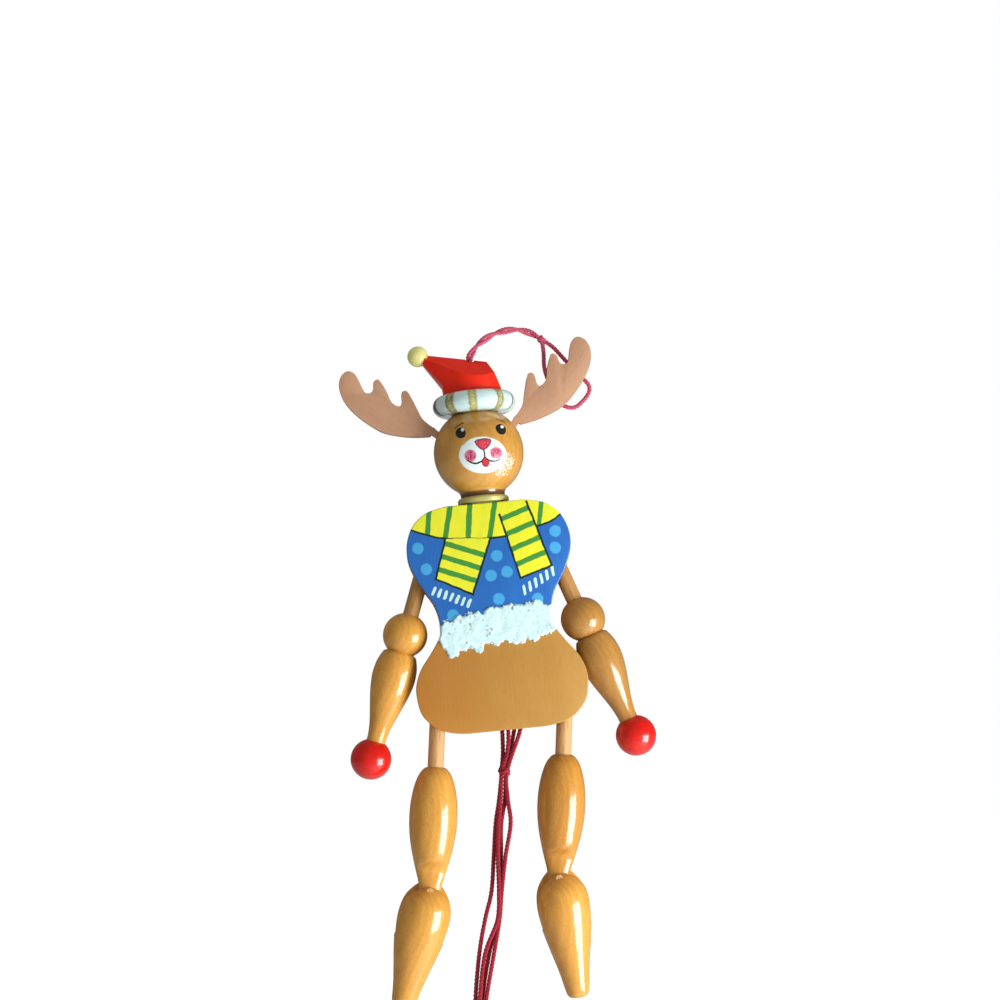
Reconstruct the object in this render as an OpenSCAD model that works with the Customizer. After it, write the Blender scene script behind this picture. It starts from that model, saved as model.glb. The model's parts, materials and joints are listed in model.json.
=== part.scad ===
// Pull string jumping jack: a wooden reindeer whose arms and legs swing out when its string is pulled.
// Millimetres. +Z is up, the face looks along -Y, and the origin is where the hanging cord leaves the hat.
// Left and right are those of the picture: left is towards -X.

/* [Body panels] */
// Height of the front and back panels
panel_h = 68; // [54:1:90]
// Width of the panels at the shoulders
shoulder_w = 49.2; // [44:0.2:60]
// Width of the panels at the waist
waist_w = 33.4; // [30:0.2:42]
// Width of the panels at the hips
hip_w = 51; // [46:0.5:60]
// Thickness of each panel
ply = 3; // [2:0.5:5]
// Gap between the panels, in which the limbs swing
panel_gap = 7; // [6.5:0.5:10]
// Distance of each shoulder pin from the middle
shoulder_x = 17.5; // [15:0.5:20]
// Height of the panels' top above the shoulder pins
shoulder_drop = 11; // [8:0.5:16]
// Distance of each hip pin from the middle
hip_x = 19.2; // [16:0.2:21]
// Height of the hip pins above the panels' bottom
hip_rise = 11; // [8:0.5:16]
// Diameter of the shoulder and hip pins
pin_d = 2.4; // [1.6:0.2:3]
// Width of the block that holds the neck between the panels
block_w = 13; // [9:0.5:14]
// Height of that block
block_h = 11.3; // [8:0.1:14]
// Diameter of the two posts at the waist
post_d = 5; // [3:0.5:7]
// Distance of each post from the middle
post_x = 11; // [8:0.5:13]
// Depth of the posts below the panels' top
post_drop = 35; // [30:0.5:40]

/* [Head] */
// Diameter of the head
head_d = 27.3; // [22:0.1:34]
// Height of the neck's underside above the lowest point of the ball
neck_seat = 0.15; // [0.15:0.05:0.5]
// Diameter of the short neck turned under the head
head_neck_d = 13.4; // [9:0.1:16]
// Diameter of the neck ring
ring_d = 15.6; // [12:0.1:20]
// Height of the neck ring
ring_h = 2.5; // [1.5:0.1:4]
// Diameter of the dowel that joins body, ring and head
neck_peg_d = 5; // [3:0.5:7]
// Length of that dowel inside the head, and inside the block
neck_peg_in = 8; // [5:0.5:10]

/* [Antlers] */
// Length of each antler from root to tip
antler_l = 33.3; // [26:0.1:42]
// Thickness of the antlers
antler_t = 2.5; // [1.5:0.5:4]
// Distance of the antlers' roots from the ball
antler_out = 0.75; // [0.5:0.05:1.5]
// Depth of each antler's tenon behind its root
tenon_l = 4; // [2:0.5:6]
// Height of the left root around the head, in degrees above level
root_angle_left = 29.4; // [15:0.1:40]
// Height of the right root around the head, in degrees above level
root_angle_right = 34.6; // [15:0.1:40]
// Rise of the left antler, in degrees above level
rise_left = 41; // [20:1:60]
// Rise of the right antler, in degrees above level
rise_right = 49; // [20:1:60]

/* [Hat] */
// Diameter of the brim
brim_d = 25.1; // [20:0.1:32]
// Height of the brim
brim_h = 6.2; // [4:0.1:9]
// Height of the brim's underside above the middle of the head
brim_lift = 11.8; // [9:0.1:13]
// Diameter of the cap's base
cap_d = 17.8; // [14:0.1:22]
// Height of the cap at the cord
cap_rise = 10.7; // [8:0.1:15]
// Width of the cap at its tip
cap_tip_w = 4.4; // [3:0.1:6]
// Slope of the cap's two top faces, in degrees
roof_slope = 34; // [20:1:50]
// Diameter of the pompom bead
pompom_d = 6.3; // [4:0.1:9]
// Distance of the pompom's middle from the flat end of the cap
pompom_seat = 2.1; // [1.2:0.1:2.8]
// Diameter of the dowel that joins head, brim and cap
hat_peg_d = 4; // [2:0.5:5]
// Length of that dowel inside the head, and inside the cap
hat_peg_in = 5; // [3:0.5:6]

/* [Limb tops] */
// Diameter of the dowels that the limbs start with
dowel_d = 4.8; // [4:0.1:5.6]
// Length of the dowels above their pins
tail_l = 9.3; // [8.8:0.1:10]
// Distance of the string holes from the pins
string_reach = 7.5; // [7:0.1:8]
// Thickness of the flat that each string hole is drilled through
tail_t = 3; // [2:0.1:3.4]
// Distance from each pin to where that flat starts
tail_flat_from = 3.6; // [2:0.1:4]
// Diameter of the string holes
string_hole_d = 1.6; // [1.5:0.1:2]

/* [Arms] */
// Tilt of the left arm at rest, in degrees
arm_tilt_left = 20.8; // [20:0.1:30]
// Tilt of the right arm at rest, in degrees
arm_tilt_right = 18.8; // [18.8:0.1:30]
// Distance from the shoulder pin to the middle of the elbow ball
elbow_reach = 27.7; // [24:0.1:34]
// Diameter of the elbow ball
elbow_d = 13.4; // [9:0.1:16]
// Diameter of the forearm where it is thickest
forearm_d = 13; // [8:0.1:13.4]
// Diameter of the groove between elbow ball and forearm
groove_d = 8.8; // [6:0.1:10]
// Diameter of the wrist
wrist_d = 5.7; // [4:0.1:7]
// Distance from the middle of the elbow ball to the middle of the hand
hand_reach = 38.3; // [34:0.1:46]
// Diameter of the hand
hand_d = 12.2; // [9:0.1:16]
// Diameter of the spigot that holds the hand
spigot_d = 3.2; // [2:0.1:4]
// Length of that spigot
spigot_l = 4; // [2:0.5:5]

/* [Legs] */
// Lean of the left leg towards -X at rest, in degrees
leg_lean_left = 8; // [2:1:20]
// Lean of the right leg towards -X at rest, in degrees
leg_lean_right = 8; // [-20:1:10]
// Distance from the hip pin to the knee pin
knee_reach = 56.5; // [48:0.5:64]
// Distance from the hip pin to the top of the thigh
thigh_from = 20.2; // [18:0.1:26]
// Diameter of the thigh where it is thickest
thigh_d = 14.4; // [9:0.1:16]
// Diameter of the thigh's neck at the knee
knee_neck_d = 5.7; // [4.6:0.1:7]
// Thickness of the thigh's tongue in the knee slot
tongue_t = 4; // [3:0.1:5]
// Height of the tongue's flats above the knee pin
tongue_up = 8.5; // [7:0.1:10]
// Length of the tongue below the knee pin
tongue_down = 2.8; // [2:0.1:4]
// Lean of the left shin towards -X at rest, in degrees
shin_lean_left = 19; // [0:1:30]
// Lean of the right shin towards -X at rest, in degrees
shin_lean_right = -4; // [-30:1:10]
// Length of the shin
shin_l = 39.5; // [34:0.5:48]
// Diameter of the shin where it is thickest
shin_d = 16; // [12:0.1:18]
// Diameter of the shin's foot end
foot_d = 7; // [4:0.1:9]
// Depth of the knee pin below the shin's top
knee_drop = 3.5; // [3:0.1:5]
// Depth of the knee slot
slot_depth = 18; // [12:0.5:20]
// Diameter of the knee pins
knee_pin_d = 2; // [1.4:0.1:2.6]

/* [Strings] */
// Diameter of each strand of the pull string, and of the hanging loop
strand_d = 1.3; // [0.8:0.1:1.4]
// Diameter of the twisted hanging cord
twist_d = 2.3; // [1.4:0.1:3]
// Depth of the cord's hole in the cap
cord_hole_depth = 4; // [2:0.5:5]
// Diameter of the knots on the strings
knot_d = 3.6; // [3:0.1:4.4]

/* [Hidden] */

// Radial room round glued dowels and pins, and round a part that turns on its pin
glue_room = 0.02;
turn_room = 0.05;
// Room beside the tongue in the knee slot, and round a string in its hole
side_room = 0.2;
string_room = 0.15;
// Room between an elbow ball and the top of the leg's dowel
elbow_room = 0.5;
// Overrun of cuts past the faces that they cut
over = 1;
// Wood left in front of a pin that doesn't come through, and depth of a dowel in a turned part
blind_wall = 1.2;
dowel_in = 6;
// Facets of round parts
$fn = 64;
// Steps between two points of a smoothed outline
steps = 4;
// Sides of a cord
cord_sides = 8;

// Heights of the stack from the hat down
head_z = -(cap_rise + brim_h + brim_lift);
neck_drop = head_d / 2 - neck_seat;
antler_reach = head_d / 2 + antler_out;
panel_top = head_z - neck_drop - ring_h;
panel_bottom = panel_top - panel_h;
shoulder_z = panel_top - shoulder_drop;
hip_z = panel_bottom + hip_rise;
back_y = panel_gap / 2 + ply;
pin_front_y = -back_y + blind_wall;

// Right half of the panel's outline, from its top to its bottom: shares of half the shoulder, waist or hip
// width, and of the height
shoulder_shares = [[0.47, 0], [0.7, 0.018], [0.87, 0.06], [0.965, 0.12], [1, 0.185], [0.975, 0.25], [0.875, 0.335]];
waist_shares = [[1.1, 0.41], [1.018, 0.47], [1, 0.52], [1.036, 0.57]];
hip_shares = [
    [0.8, 0.64], [0.93, 0.705], [1, 0.775], [1, 0.84], [0.955, 0.905], [0.82, 0.96], [0.64, 0.99], [0.45, 1]];

// Outline of an antler, root first, as shares of its length: along it, and towards its tines
antler_shares = [
    [0.02, 0.036], [0.09, 0.03], [0.18, 0.042], [0.285, 0.096], [0.405, 0.155], [0.45, 0.157], [0.463, 0.117],
    [0.405, 0.036], [0.42, 0.003], [0.49, 0], [0.585, 0.054], [0.67, 0.09], [0.715, 0.095], [0.727, 0.048],
    [0.69, -0.012], [0.703, -0.054], [0.748, -0.066], [0.86, -0.006], [0.925, 0.015], [0.982, -0.006],
    [1, -0.075], [0.967, -0.156], [0.895, -0.219], [0.793, -0.263], [0.66, -0.285], [0.51, -0.285],
    [0.39, -0.27], [0.27, -0.219], [0.14, -0.144], [0.02, -0.05]];
antler_root_share = 0.03;

// Side of the cap, base first: shares of the base's radius and of the cap's height
cap_shares = [[1, -1], [0.573, -0.093], [-1.427, 0.234], [-1.618, -0.019], [-1.022, -0.71], [-1, -1]];

// Turned profiles: shares of the length, and of the thickest radius that the profile keeps to
forearm_shares = [
    [0.19, 0.8], [0.27, 0.94], [0.36, 1], [0.45, 0.985], [0.57, 0.88], [0.7, 0.71], [0.83, 0.54], [0.93, 0.455]];
thigh_shares = [
    [0, 0.36], [0.015, 0.5], [0.07, 0.71], [0.16, 0.87], [0.27, 0.97], [0.38, 1], [0.5, 0.965], [0.62, 0.86],
    [0.74, 0.7], [0.85, 0.53], [0.93, 0.44]];
shin_shares = [
    [0.012, 0.2], [0.04, 0.44], [0.08, 0.64], [0.14, 0.84], [0.2, 0.95], [0.28, 1], [0.36, 0.995], [0.46, 0.93],
    [0.58, 0.81], [0.7, 0.67], [0.82, 0.54]];
// End of the shin: shares of its length, and of the foot's radius
foot_shares = [[0.92, 1.05], [0.97, 0.89], [0.99, 0.64]];
// Radius of the shin at the knee pin, as a share of its thickest
knee_share = 0.66;

// Routes of the cords
hanging_route = [
    [0, 0, 0.4], [1.4, 0, 2.6], [3.2, 0.6, 4.6], [7, 1.6, 7.1], [11, 2.6, 8.4], [15.5, 3.4, 8.7], [19.6, 4, 7.4],
    [22.3, 4.3, 5.6]];
loop_knot_at = [22.9, 4.3, 5];
loop_route = [
    [23, 4.3, 4.2], [23.1, 4.1, 1.2], [22.8, 3.6, -3.5], [23.3, 3, -7], [24.6, 2.8, -11.5], [27, 2.6, -15.8],
    [30.5, 2.5, -17.1], [33.6, 2.5, -15.2], [35.6, 2.5, -12.8], [35.8, 2.5, -10.8], [34.6, 2.6, -8.8],
    [29.8, 3, -2.7], [26.2, 3.8, 2.3], [23.6, 4.3, 4.6]];
arm_tie_at = [0.1, 0, -75];
leg_tie_at = [3.6, 0, -108];
gather_knot_at = [-1.7, 0, -125];
end_knot_at = [-17.2, 0, -206];
arm_string_route_left = [[-12, 2.5, -53.7], [-6.5, 2, -63.5], [-1.1, 1, -72.8]];
arm_string_route_right = [[12.2, -2.5, -53.6], [6.7, -2, -63.5], [1.3, -1, -72.8]];
leg_string_route_left = [[-13.9, -2.5, -97], [-6, -2.4, -101.9], [1.6, -2.3, -106.7]];
leg_string_route_right = [[16.4, 2.5, -97.4], [10.5, 2, -102.3], [5.5, 1.2, -106.4]];
strand_routes = [
    [[-0.6, 0.6, -75.5], [-1.1, 0.6, -113], [-2.5, 0.75, -125], [-4, 0.8, -133], [-5.8, 0.8, -140.5],
     [-7.3, 0.6, -150], [-9, 0, -160], [-11.7, 0, -168], [-14.4, 0.4, -178], [-16.9, 0.5, -192],
     [-18, 0.75, -206], [-19.5, 1, -212]],
    [[0.8, -0.6, -75.5], [0.7, -0.6, -113], [-2.4, -0.75, -125], [-3.6, -0.8, -133], [-5, -0.8, -140.5],
     [-6.1, -0.7, -150], [-6.8, -1.3, -160], [-7.9, -1.3, -168], [-12.7, -0.6, -178], [-15.7, -0.7, -192],
     [-17.9, -0.75, -206], [-18.4, -1.2, -212]],
    [[3, 0.6, -108.5], [2.5, 0.6, -113], [-1, 0.75, -125], [-2.2, 0.8, -133], [-4.1, 0.8, -140.5],
     [-5.1, 0.8, -150], [-6.6, 1.3, -160], [-7.8, 1.3, -168], [-11.4, 0.6, -178], [-14.9, 0.9, -192],
     [-16.5, 0.75, -206], [-16.4, 1, -212]],
    [[4.2, -0.6, -108.5], [4.3, -0.6, -113], [-0.9, -0.75, -125], [-1.5, -0.8, -133], [-1.3, 0, -140.5],
     [-3.8, -0.4, -150], [-5.9, 0, -160], [-7.3, 0, -168], [-10, -0.5, -178], [-13.8, -0.6, -192],
     [-16.4, -0.75, -206], [-15.5, -1, -212]]];

wood = [0.78, 0.52, 0.26];
plain_wood = [0.85, 0.68, 0.45];
antler_wood = [0.76, 0.6, 0.49];
red = [0.85, 0.12, 0.07];
gold = [0.76, 0.72, 0.42];
white = [0.93, 0.97, 0.98];
string_red = [0.66, 0.11, 0.2];
cord_pink = [0.8, 0.3, 0.4];

function curve(a, b, c, d, t) =
    (2 * b + (c - a) * t + (2 * a - 5 * b + 4 * c - d) * t * t + (3 * b - a - 3 * c + d) * t * t * t) / 2;

// The points of a smooth line through p
function smooth(p) = [
    for (i = [0 : len(p) - 2]) for (k = [0 : steps - 1])
        curve(p[max(i - 1, 0)], p[i], p[i + 1], p[min(i + 2, len(p) - 1)], k / steps),
    p[len(p) - 1]];

function scaled(shares, size) = [for (s = shares) [s[0] * size[0], s[1] * size[1]]];
function reversed(p) = [for (i = [len(p) - 1 : -1 : 0]) p[i]];
function unit(v) = v / norm(v);
// Direction of a limb's tail, which points away from the limb, for a lean towards -X
function tail_way(lean) = [sin(lean), 0, cos(lean)];

// Half the panel's outline, as distances from the middle and heights below the top
panel_half = smooth(concat(
    scaled(shoulder_shares, [shoulder_w / 2, -panel_h]),
    scaled(waist_shares, [waist_w / 2, -panel_h]),
    scaled(hip_shares, [hip_w / 2, -panel_h])));

module panel_outline() {
    polygon(concat(panel_half, [for (p = reversed(panel_half)) [-p[0], p[1]]]));
}

// A plate of a drawing in X and Z, y0 to y0 + t deep
module plate(y0, t) {
    translate([0, y0 + t, 0]) rotate([90, 0, 0]) linear_extrude(t) children();
}

// A round bar along Y
module bar_y(r, y0, y1) {
    translate([0, y0, 0]) rotate([-90, 0, 0]) cylinder(r = r, h = y1 - y0);
}

module at_pins(x, z) {
    for (side = [-1, 1]) translate([side * x, 0, z]) children();
}

// A tube along p, with a ring of cord_sides points at each of its points
module tube(p, d) {
    last = len(p) - 1;
    rings = [for (i = [0 : last])
        let (way = unit(p[min(i + 1, last)] - p[max(i - 1, 0)]),
             across = unit(cross(way, [0, 1, 0])), up = cross(way, across))
        for (k = [0 : cord_sides - 1]) let (a = 360 * k / cord_sides)
            p[i] + d / 2 * (cos(a) * across + sin(a) * up)];
    sides = [for (i = [0 : last - 1]) for (k = [0 : cord_sides - 1])
        let (a = i * cord_sides + k, b = i * cord_sides + (k + 1) % cord_sides)
        each [[a, a + cord_sides, b], [b, a + cord_sides, b + cord_sides]]];
    start = [for (k = [0 : cord_sides - 1]) k];
    end = [for (k = [cord_sides - 1 : -1 : 0]) last * cord_sides + k];
    polyhedron(points = rings, faces = concat(sides, [start, end]));
}

// A turned part that hangs along -Z, from shares of its length and of its thickest radius
module turned(shares, l, d) {
    outline = smooth([for (s = shares) [s[1] * d / 2, -s[0] * l]]);
    rotate_extrude() polygon(concat([[0, outline[0][1]]], outline, [[0, outline[len(outline) - 1][1]]]));
}

module panel_with_pin_bores(y0, bore_y0, bore_y1) {
    difference() {
        translate([0, 0, panel_top]) plate(y0, ply) panel_outline();
        at_pins(shoulder_x, shoulder_z) bar_y(pin_d / 2 + glue_room, bore_y0, bore_y1);
        at_pins(hip_x, hip_z) bar_y(pin_d / 2 + glue_room, bore_y0, bore_y1);
    }
}

module front_panel() {
    color(wood) panel_with_pin_bores(-back_y, pin_front_y, 0);
}

module back_panel() {
    color(plain_wood) panel_with_pin_bores(panel_gap / 2, 0, back_y + over);
}

module neck_block() {
    color(plain_wood) difference() {
        translate([-block_w / 2, -panel_gap / 2, panel_top - block_h]) cube([block_w, panel_gap, block_h]);
        translate([0, 0, panel_top - neck_peg_in]) cylinder(d = neck_peg_d + 2 * glue_room, h = neck_peg_in + over);
    }
}

module waist_posts() {
    color(plain_wood) at_pins(post_x, panel_top - post_drop) bar_y(post_d / 2, -panel_gap / 2, panel_gap / 2);
}

module shoulder_pins() {
    color(plain_wood) at_pins(shoulder_x, shoulder_z) bar_y(pin_d / 2, pin_front_y, back_y);
}

module hip_pins() {
    color(plain_wood) at_pins(hip_x, hip_z) bar_y(pin_d / 2, pin_front_y, back_y);
}

module neck_peg() {
    color(plain_wood) translate([0, 0, panel_top - neck_peg_in])
        cylinder(d = neck_peg_d, h = 2 * neck_peg_in + ring_h);
}

module neck_ring() {
    color(gold) translate([0, 0, panel_top + ring_h / 2]) rotate_extrude() {
        translate([ring_d / 2 - ring_h / 2, 0]) circle(d = ring_h);
        translate([neck_peg_d / 2 + glue_room, -ring_h / 2])
            square([ring_d / 2 - ring_h / 2 - neck_peg_d / 2 - glue_room, ring_h]);
    }
}

// Children in the frame of an antler: X along it from its root, Z towards its tines
module at_antler(side) {
    root_angle = side < 0 ? root_angle_left : root_angle_right;
    rise = side < 0 ? rise_left : rise_right;
    translate([side * antler_reach * cos(root_angle), 0, head_z + antler_reach * sin(root_angle)])
        mirror([side < 0 ? 1 : 0, 0, 0]) rotate([0, -rise, 0]) children();
}

// The tenon behind an antler's root, with room round it
module antler_tenon(room) {
    half = antler_root_share * antler_l + room;
    translate([-tenon_l - room, -antler_t / 2 - room, -half])
        cube([tenon_l + antler_root_share * antler_l + room, antler_t + 2 * room, 2 * half]);
}

module antler(side) {
    color(antler_wood) at_antler(side) {
        plate(-antler_t / 2, antler_t) polygon(smooth(scaled(antler_shares, [antler_l, antler_l])));
        antler_tenon(0);
    }
}

module head() {
    color(wood) difference() {
        union() {
            translate([0, 0, head_z]) sphere(d = head_d);
            translate([0, 0, head_z - neck_drop]) cylinder(d = head_neck_d, h = neck_drop);
        }
        translate([0, 0, head_z - neck_drop - over])
            cylinder(d = neck_peg_d + 2 * glue_room, h = neck_peg_in + over);
        translate([0, 0, head_z + head_d / 2 - hat_peg_in])
            cylinder(d = hat_peg_d + 2 * glue_room, h = hat_peg_in + over);
        at_antler(-1) antler_tenon(glue_room);
        at_antler(1) antler_tenon(glue_room);
    }
}

module hat_brim() {
    color(white) difference() {
        translate([0, 0, head_z + brim_lift + brim_h / 2]) rotate_extrude() {
            translate([brim_d / 2 - brim_h / 2, 0]) circle(d = brim_h);
            translate([0, -brim_h / 2]) square([brim_d / 2 - brim_h / 2, brim_h]);
        }
        translate([0, 0, head_z]) sphere(d = head_d + 2 * glue_room);
        translate([0, 0, head_z]) cylinder(d = hat_peg_d + 2 * glue_room, h = head_d + brim_h);
    }
}

module hat_peg() {
    color(plain_wood) translate([0, 0, head_z + head_d / 2 - hat_peg_in])
        cylinder(d = hat_peg_d, h = brim_lift + brim_h - head_d / 2 + 2 * hat_peg_in);
}

// The cap's side and the flat end of its tail, which the pompom sits on
cap_side = scaled(cap_shares, [cap_d / 2, cap_rise]);
tip_middle = (cap_side[2] + cap_side[3]) / 2;
tip_edge = unit(cap_side[2] - cap_side[3]);
ridge_angle = atan2(cap_side[2][1] - cap_side[1][1], cap_side[1][0] - cap_side[2][0]);

// The cap seen from above: a round base and a tail that narrows to the tip
module cap_plan() {
    reach = -tip_middle[0];
    lean = asin((cap_d - cap_tip_w) / 2 / reach);
    circle(d = cap_d);
    translate([-reach, 0]) circle(d = cap_tip_w);
    polygon([
        cap_d / 2 * [-sin(lean), cos(lean)], [-reach, 0] + cap_tip_w / 2 * [-sin(lean), cos(lean)],
        [-reach, 0] + cap_tip_w / 2 * [-sin(lean), -cos(lean)], cap_d / 2 * [-sin(lean), -cos(lean)]]);
}

// A long body under two slopes that meet in the ridge
module cap_roof() {
    drop = cap_d * tan(roof_slope);
    rotate([0, ridge_angle, 0]) rotate([90, 0, 90]) translate([0, 0, -2 * cap_d]) linear_extrude(4 * cap_d)
        polygon([[0, 0], [cap_d, -drop], [cap_d, -drop - 2 * cap_d], [-cap_d, -drop - 2 * cap_d], [-cap_d, -drop]]);
}

module hat_cap() {
    color(red) difference() {
        intersection() {
            plate(-cap_d / 2, cap_d) polygon(cap_side);
            translate([0, 0, -2 * cap_rise]) linear_extrude(4 * cap_rise) cap_plan();
            cap_roof();
        }
        translate([0, 0, -cord_hole_depth]) cylinder(d = twist_d + 2 * string_room, h = cord_hole_depth + over);
        translate([0, 0, -cap_rise - over]) cylinder(d = hat_peg_d + 2 * glue_room, h = hat_peg_in + over);
    }
}

module pompom() {
    out = [-tip_edge[1], tip_edge[0]];
    color(gold) difference() {
        translate([tip_middle[0] + pompom_seat * out[0], 0, tip_middle[1] + pompom_seat * out[1]])
            sphere(d = pompom_d);
        translate([tip_middle[0], 0, tip_middle[1]]) rotate([0, 90 - atan2(-out[1], -out[0]), 0])
            cylinder(d = 2 * pompom_d, h = pompom_d);
    }
}

module hanging_cord() {
    color(cord_pink) tube(concat([[0, 0, -cord_hole_depth]], hanging_route), twist_d);
}

module loop_knot() {
    color(cord_pink) translate(loop_knot_at) sphere(d = knot_d);
}

module hanging_loop() {
    color(cord_pink) tube(loop_route, strand_d);
}

// Outer top corner of a leg's dowel, seen from the shoulder pin on its side: outwards, and down
function tail_corner(side) =
    let (lean = side * (side < 0 ? leg_lean_left : leg_lean_right))
    [hip_x - shoulder_x + tail_l * sin(lean) + dowel_d / 2 * cos(lean),
     shoulder_z - hip_z - tail_l * cos(lean) + dowel_d / 2 * sin(lean)];

// Tilt at which the elbow ball just clears that corner: the arm hangs no steeper
function clear_tilt(side) =
    let (corner = tail_corner(side), far = norm(corner), clear = elbow_d / 2 + elbow_room)
    atan2(corner[0], corner[1])
        + acos(min(1, (far * far + elbow_reach * elbow_reach - clear * clear) / (2 * far * elbow_reach)));

function arm_tilt(side) = max(side < 0 ? arm_tilt_left : arm_tilt_right, clear_tilt(side));

// Children in the frame of a limb: its pin at the origin, and the limb along -Z
module at_shoulder(side) {
    translate([side * shoulder_x, 0, shoulder_z]) rotate([0, -side * arm_tilt(side), 0]) children();
}

module at_hip(side) {
    translate([side * hip_x, 0, hip_z]) rotate([0, side < 0 ? leg_lean_left : leg_lean_right, 0]) children();
}

module at_knee(side) {
    lean = side < 0 ? leg_lean_left : leg_lean_right;
    translate(knee_reach * -tail_way(lean)) translate([side * hip_x, 0, hip_z])
        rotate([0, side < 0 ? shin_lean_left : shin_lean_right, 0]) children();
}

// A limb's dowel, with its pin bore, and its tail cut flat for the string hole
module limb_dowel(l) {
    difference() {
        translate([0, 0, -l]) cylinder(d = dowel_d, h = l + tail_l);
        for (side = [-1, 1]) translate([-dowel_d, side * (tail_t / 2 + dowel_d) - dowel_d, tail_flat_from])
            cube([2 * dowel_d, 2 * dowel_d, tail_l]);
        bar_y(pin_d / 2 + turn_room, -dowel_d, dowel_d);
        translate([0, 0, string_reach]) bar_y(string_hole_d / 2, -dowel_d, dowel_d);
    }
}

// A limb's string: a knot behind the tail, a stub through its hole, and the free stretch down to the tie
module limb_string(hole, route) {
    y = route[0][1];
    face = sign(y) * (tail_t / 2 + string_room);
    color(string_red) {
        tube(concat([hole + [0, y, 0]], route), strand_d);
        translate(hole + [0, y, 0]) sphere(d = strand_d + string_room);
        translate(hole) {
            bar_y(string_hole_d / 2 - string_room, min(y, -face - sign(y) * strand_d / 2),
                max(y, -face - sign(y) * strand_d / 2));
            bar_y(strand_d, min(-face, -face - sign(y) * strand_d), max(-face, -face - sign(y) * strand_d));
        }
    }
}

module arm_dowel(side) {
    color(plain_wood) at_shoulder(side) limb_dowel(elbow_reach - elbow_d / 2 + dowel_in);
}

// Elbow ball and forearm, turned in one piece
module forearm(side) {
    wrist_at = sqrt(pow(hand_d / 2, 2) - pow(wrist_d / 2, 2));
    l = hand_reach - wrist_at;
    color(wood) at_shoulder(side) translate([0, 0, -elbow_reach]) difference() {
        union() {
            sphere(d = elbow_d);
            turned(concat([[0, groove_d / forearm_d], [0.15, groove_d / forearm_d]], forearm_shares,
                [[1, wrist_d / forearm_d]]), l, forearm_d);
            translate([0, 0, -l - spigot_l]) cylinder(d = spigot_d, h = l + spigot_l);
        }
        translate([0, 0, elbow_d / 2 - dowel_in]) cylinder(d = dowel_d + 2 * glue_room, h = dowel_in + over);
    }
}

module hand(side) {
    wrist_at = sqrt(pow(hand_d / 2, 2) - pow(wrist_d / 2, 2));
    color(red) at_shoulder(side) translate([0, 0, -elbow_reach - hand_reach]) difference() {
        sphere(d = hand_d);
        translate([0, 0, wrist_at]) cylinder(d = hand_d, h = hand_d);
        translate([0, 0, wrist_at - spigot_l - glue_room])
            cylinder(d = spigot_d + 2 * glue_room, h = spigot_l + over);
    }
}

module leg_dowel(side) {
    color(plain_wood) at_hip(side) limb_dowel(thigh_from + dowel_in);
}

// The thigh, with a bore for its dowel and a flat tongue for the knee slot
module thigh(side) {
    l = knee_reach - thigh_from + tongue_down;
    color(wood) at_hip(side) translate([0, 0, -thigh_from]) difference() {
        turned(concat(thigh_shares, [[1, knee_neck_d / thigh_d]]), l, thigh_d);
        translate([0, 0, -dowel_in]) cylinder(d = dowel_d + 2 * glue_room, h = dowel_in + over);
        for (face = [-1, 1]) translate([-thigh_d, face * (tongue_t / 2 + thigh_d) - thigh_d, -l - over])
            cube([2 * thigh_d, 2 * thigh_d, tongue_down + tongue_up + over]);
        translate([0, 0, -l + tongue_down]) bar_y(knee_pin_d / 2 + turn_room, -thigh_d, thigh_d);
    }
}

// Reach of the knee pin to the front, and to where it is flush with the back of the shin
knee_pin_front = tongue_t / 2 + side_room + knee_pin_d;
knee_pin_back = knee_share * shin_d / 2;

// The knee pin, driven in from behind and left short of the front
module knee_pin(side) {
    color(plain_wood) at_knee(side) bar_y(knee_pin_d / 2, -knee_pin_front, knee_pin_back);
}

module shin(side) {
    profile = concat([[0, 0]], shin_shares, scaled(foot_shares, [1, foot_d / shin_d]), [[1, 0]]);
    color(wood) at_knee(side) difference() {
        translate([0, 0, knee_drop]) turned(profile, shin_l, shin_d);
        translate([-shin_d, -tongue_t / 2 - side_room, knee_drop - slot_depth])
            cube([2 * shin_d, tongue_t + 2 * side_room, slot_depth + over]);
        bar_y(knee_pin_d / 2 + glue_room, -knee_pin_front - glue_room, shin_d);
    }
}

module tie(at) {
    color(string_red) translate(at) sphere(d = knot_d);
}

module pull_strand(i) {
    color(string_red) tube(strand_routes[i], strand_d);
}

function arm_hole(side) = [side * shoulder_x, 0, shoulder_z]
    + string_reach * tail_way(-side * arm_tilt(side));
function leg_hole(side) = [side * hip_x, 0, hip_z]
    + string_reach * tail_way(side < 0 ? leg_lean_left : leg_lean_right);

front_panel();
back_panel();
neck_block();
waist_posts();
shoulder_pins();
hip_pins();
neck_peg();
neck_ring();
head();
antler(-1);  // antler_left
antler(1);  // antler_right
hat_brim();
hat_peg();
hat_cap();
pompom();
hanging_cord();
loop_knot();
hanging_loop();
arm_dowel(-1);  // arm_dowel_left
forearm(-1);  // forearm_left
hand(-1);  // hand_left
limb_string(arm_hole(-1), arm_string_route_left);  // arm_string_left
arm_dowel(1);  // arm_dowel_right
forearm(1);  // forearm_right
hand(1);  // hand_right
limb_string(arm_hole(1), arm_string_route_right);  // arm_string_right
leg_dowel(-1);  // leg_dowel_left
thigh(-1);  // thigh_left
knee_pin(-1);  // knee_pin_left
shin(-1);  // shin_left
limb_string(leg_hole(-1), leg_string_route_left);  // leg_string_left
leg_dowel(1);  // leg_dowel_right
thigh(1);  // thigh_right
knee_pin(1);  // knee_pin_right
shin(1);  // shin_right
limb_string(leg_hole(1), leg_string_route_right);  // leg_string_right
tie(arm_tie_at);  // arm_tie
tie(leg_tie_at);  // leg_tie
tie(gather_knot_at);  // gather_knot
tie(end_knot_at);  // end_knot
pull_strand(0);  // pull_strand_a
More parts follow.
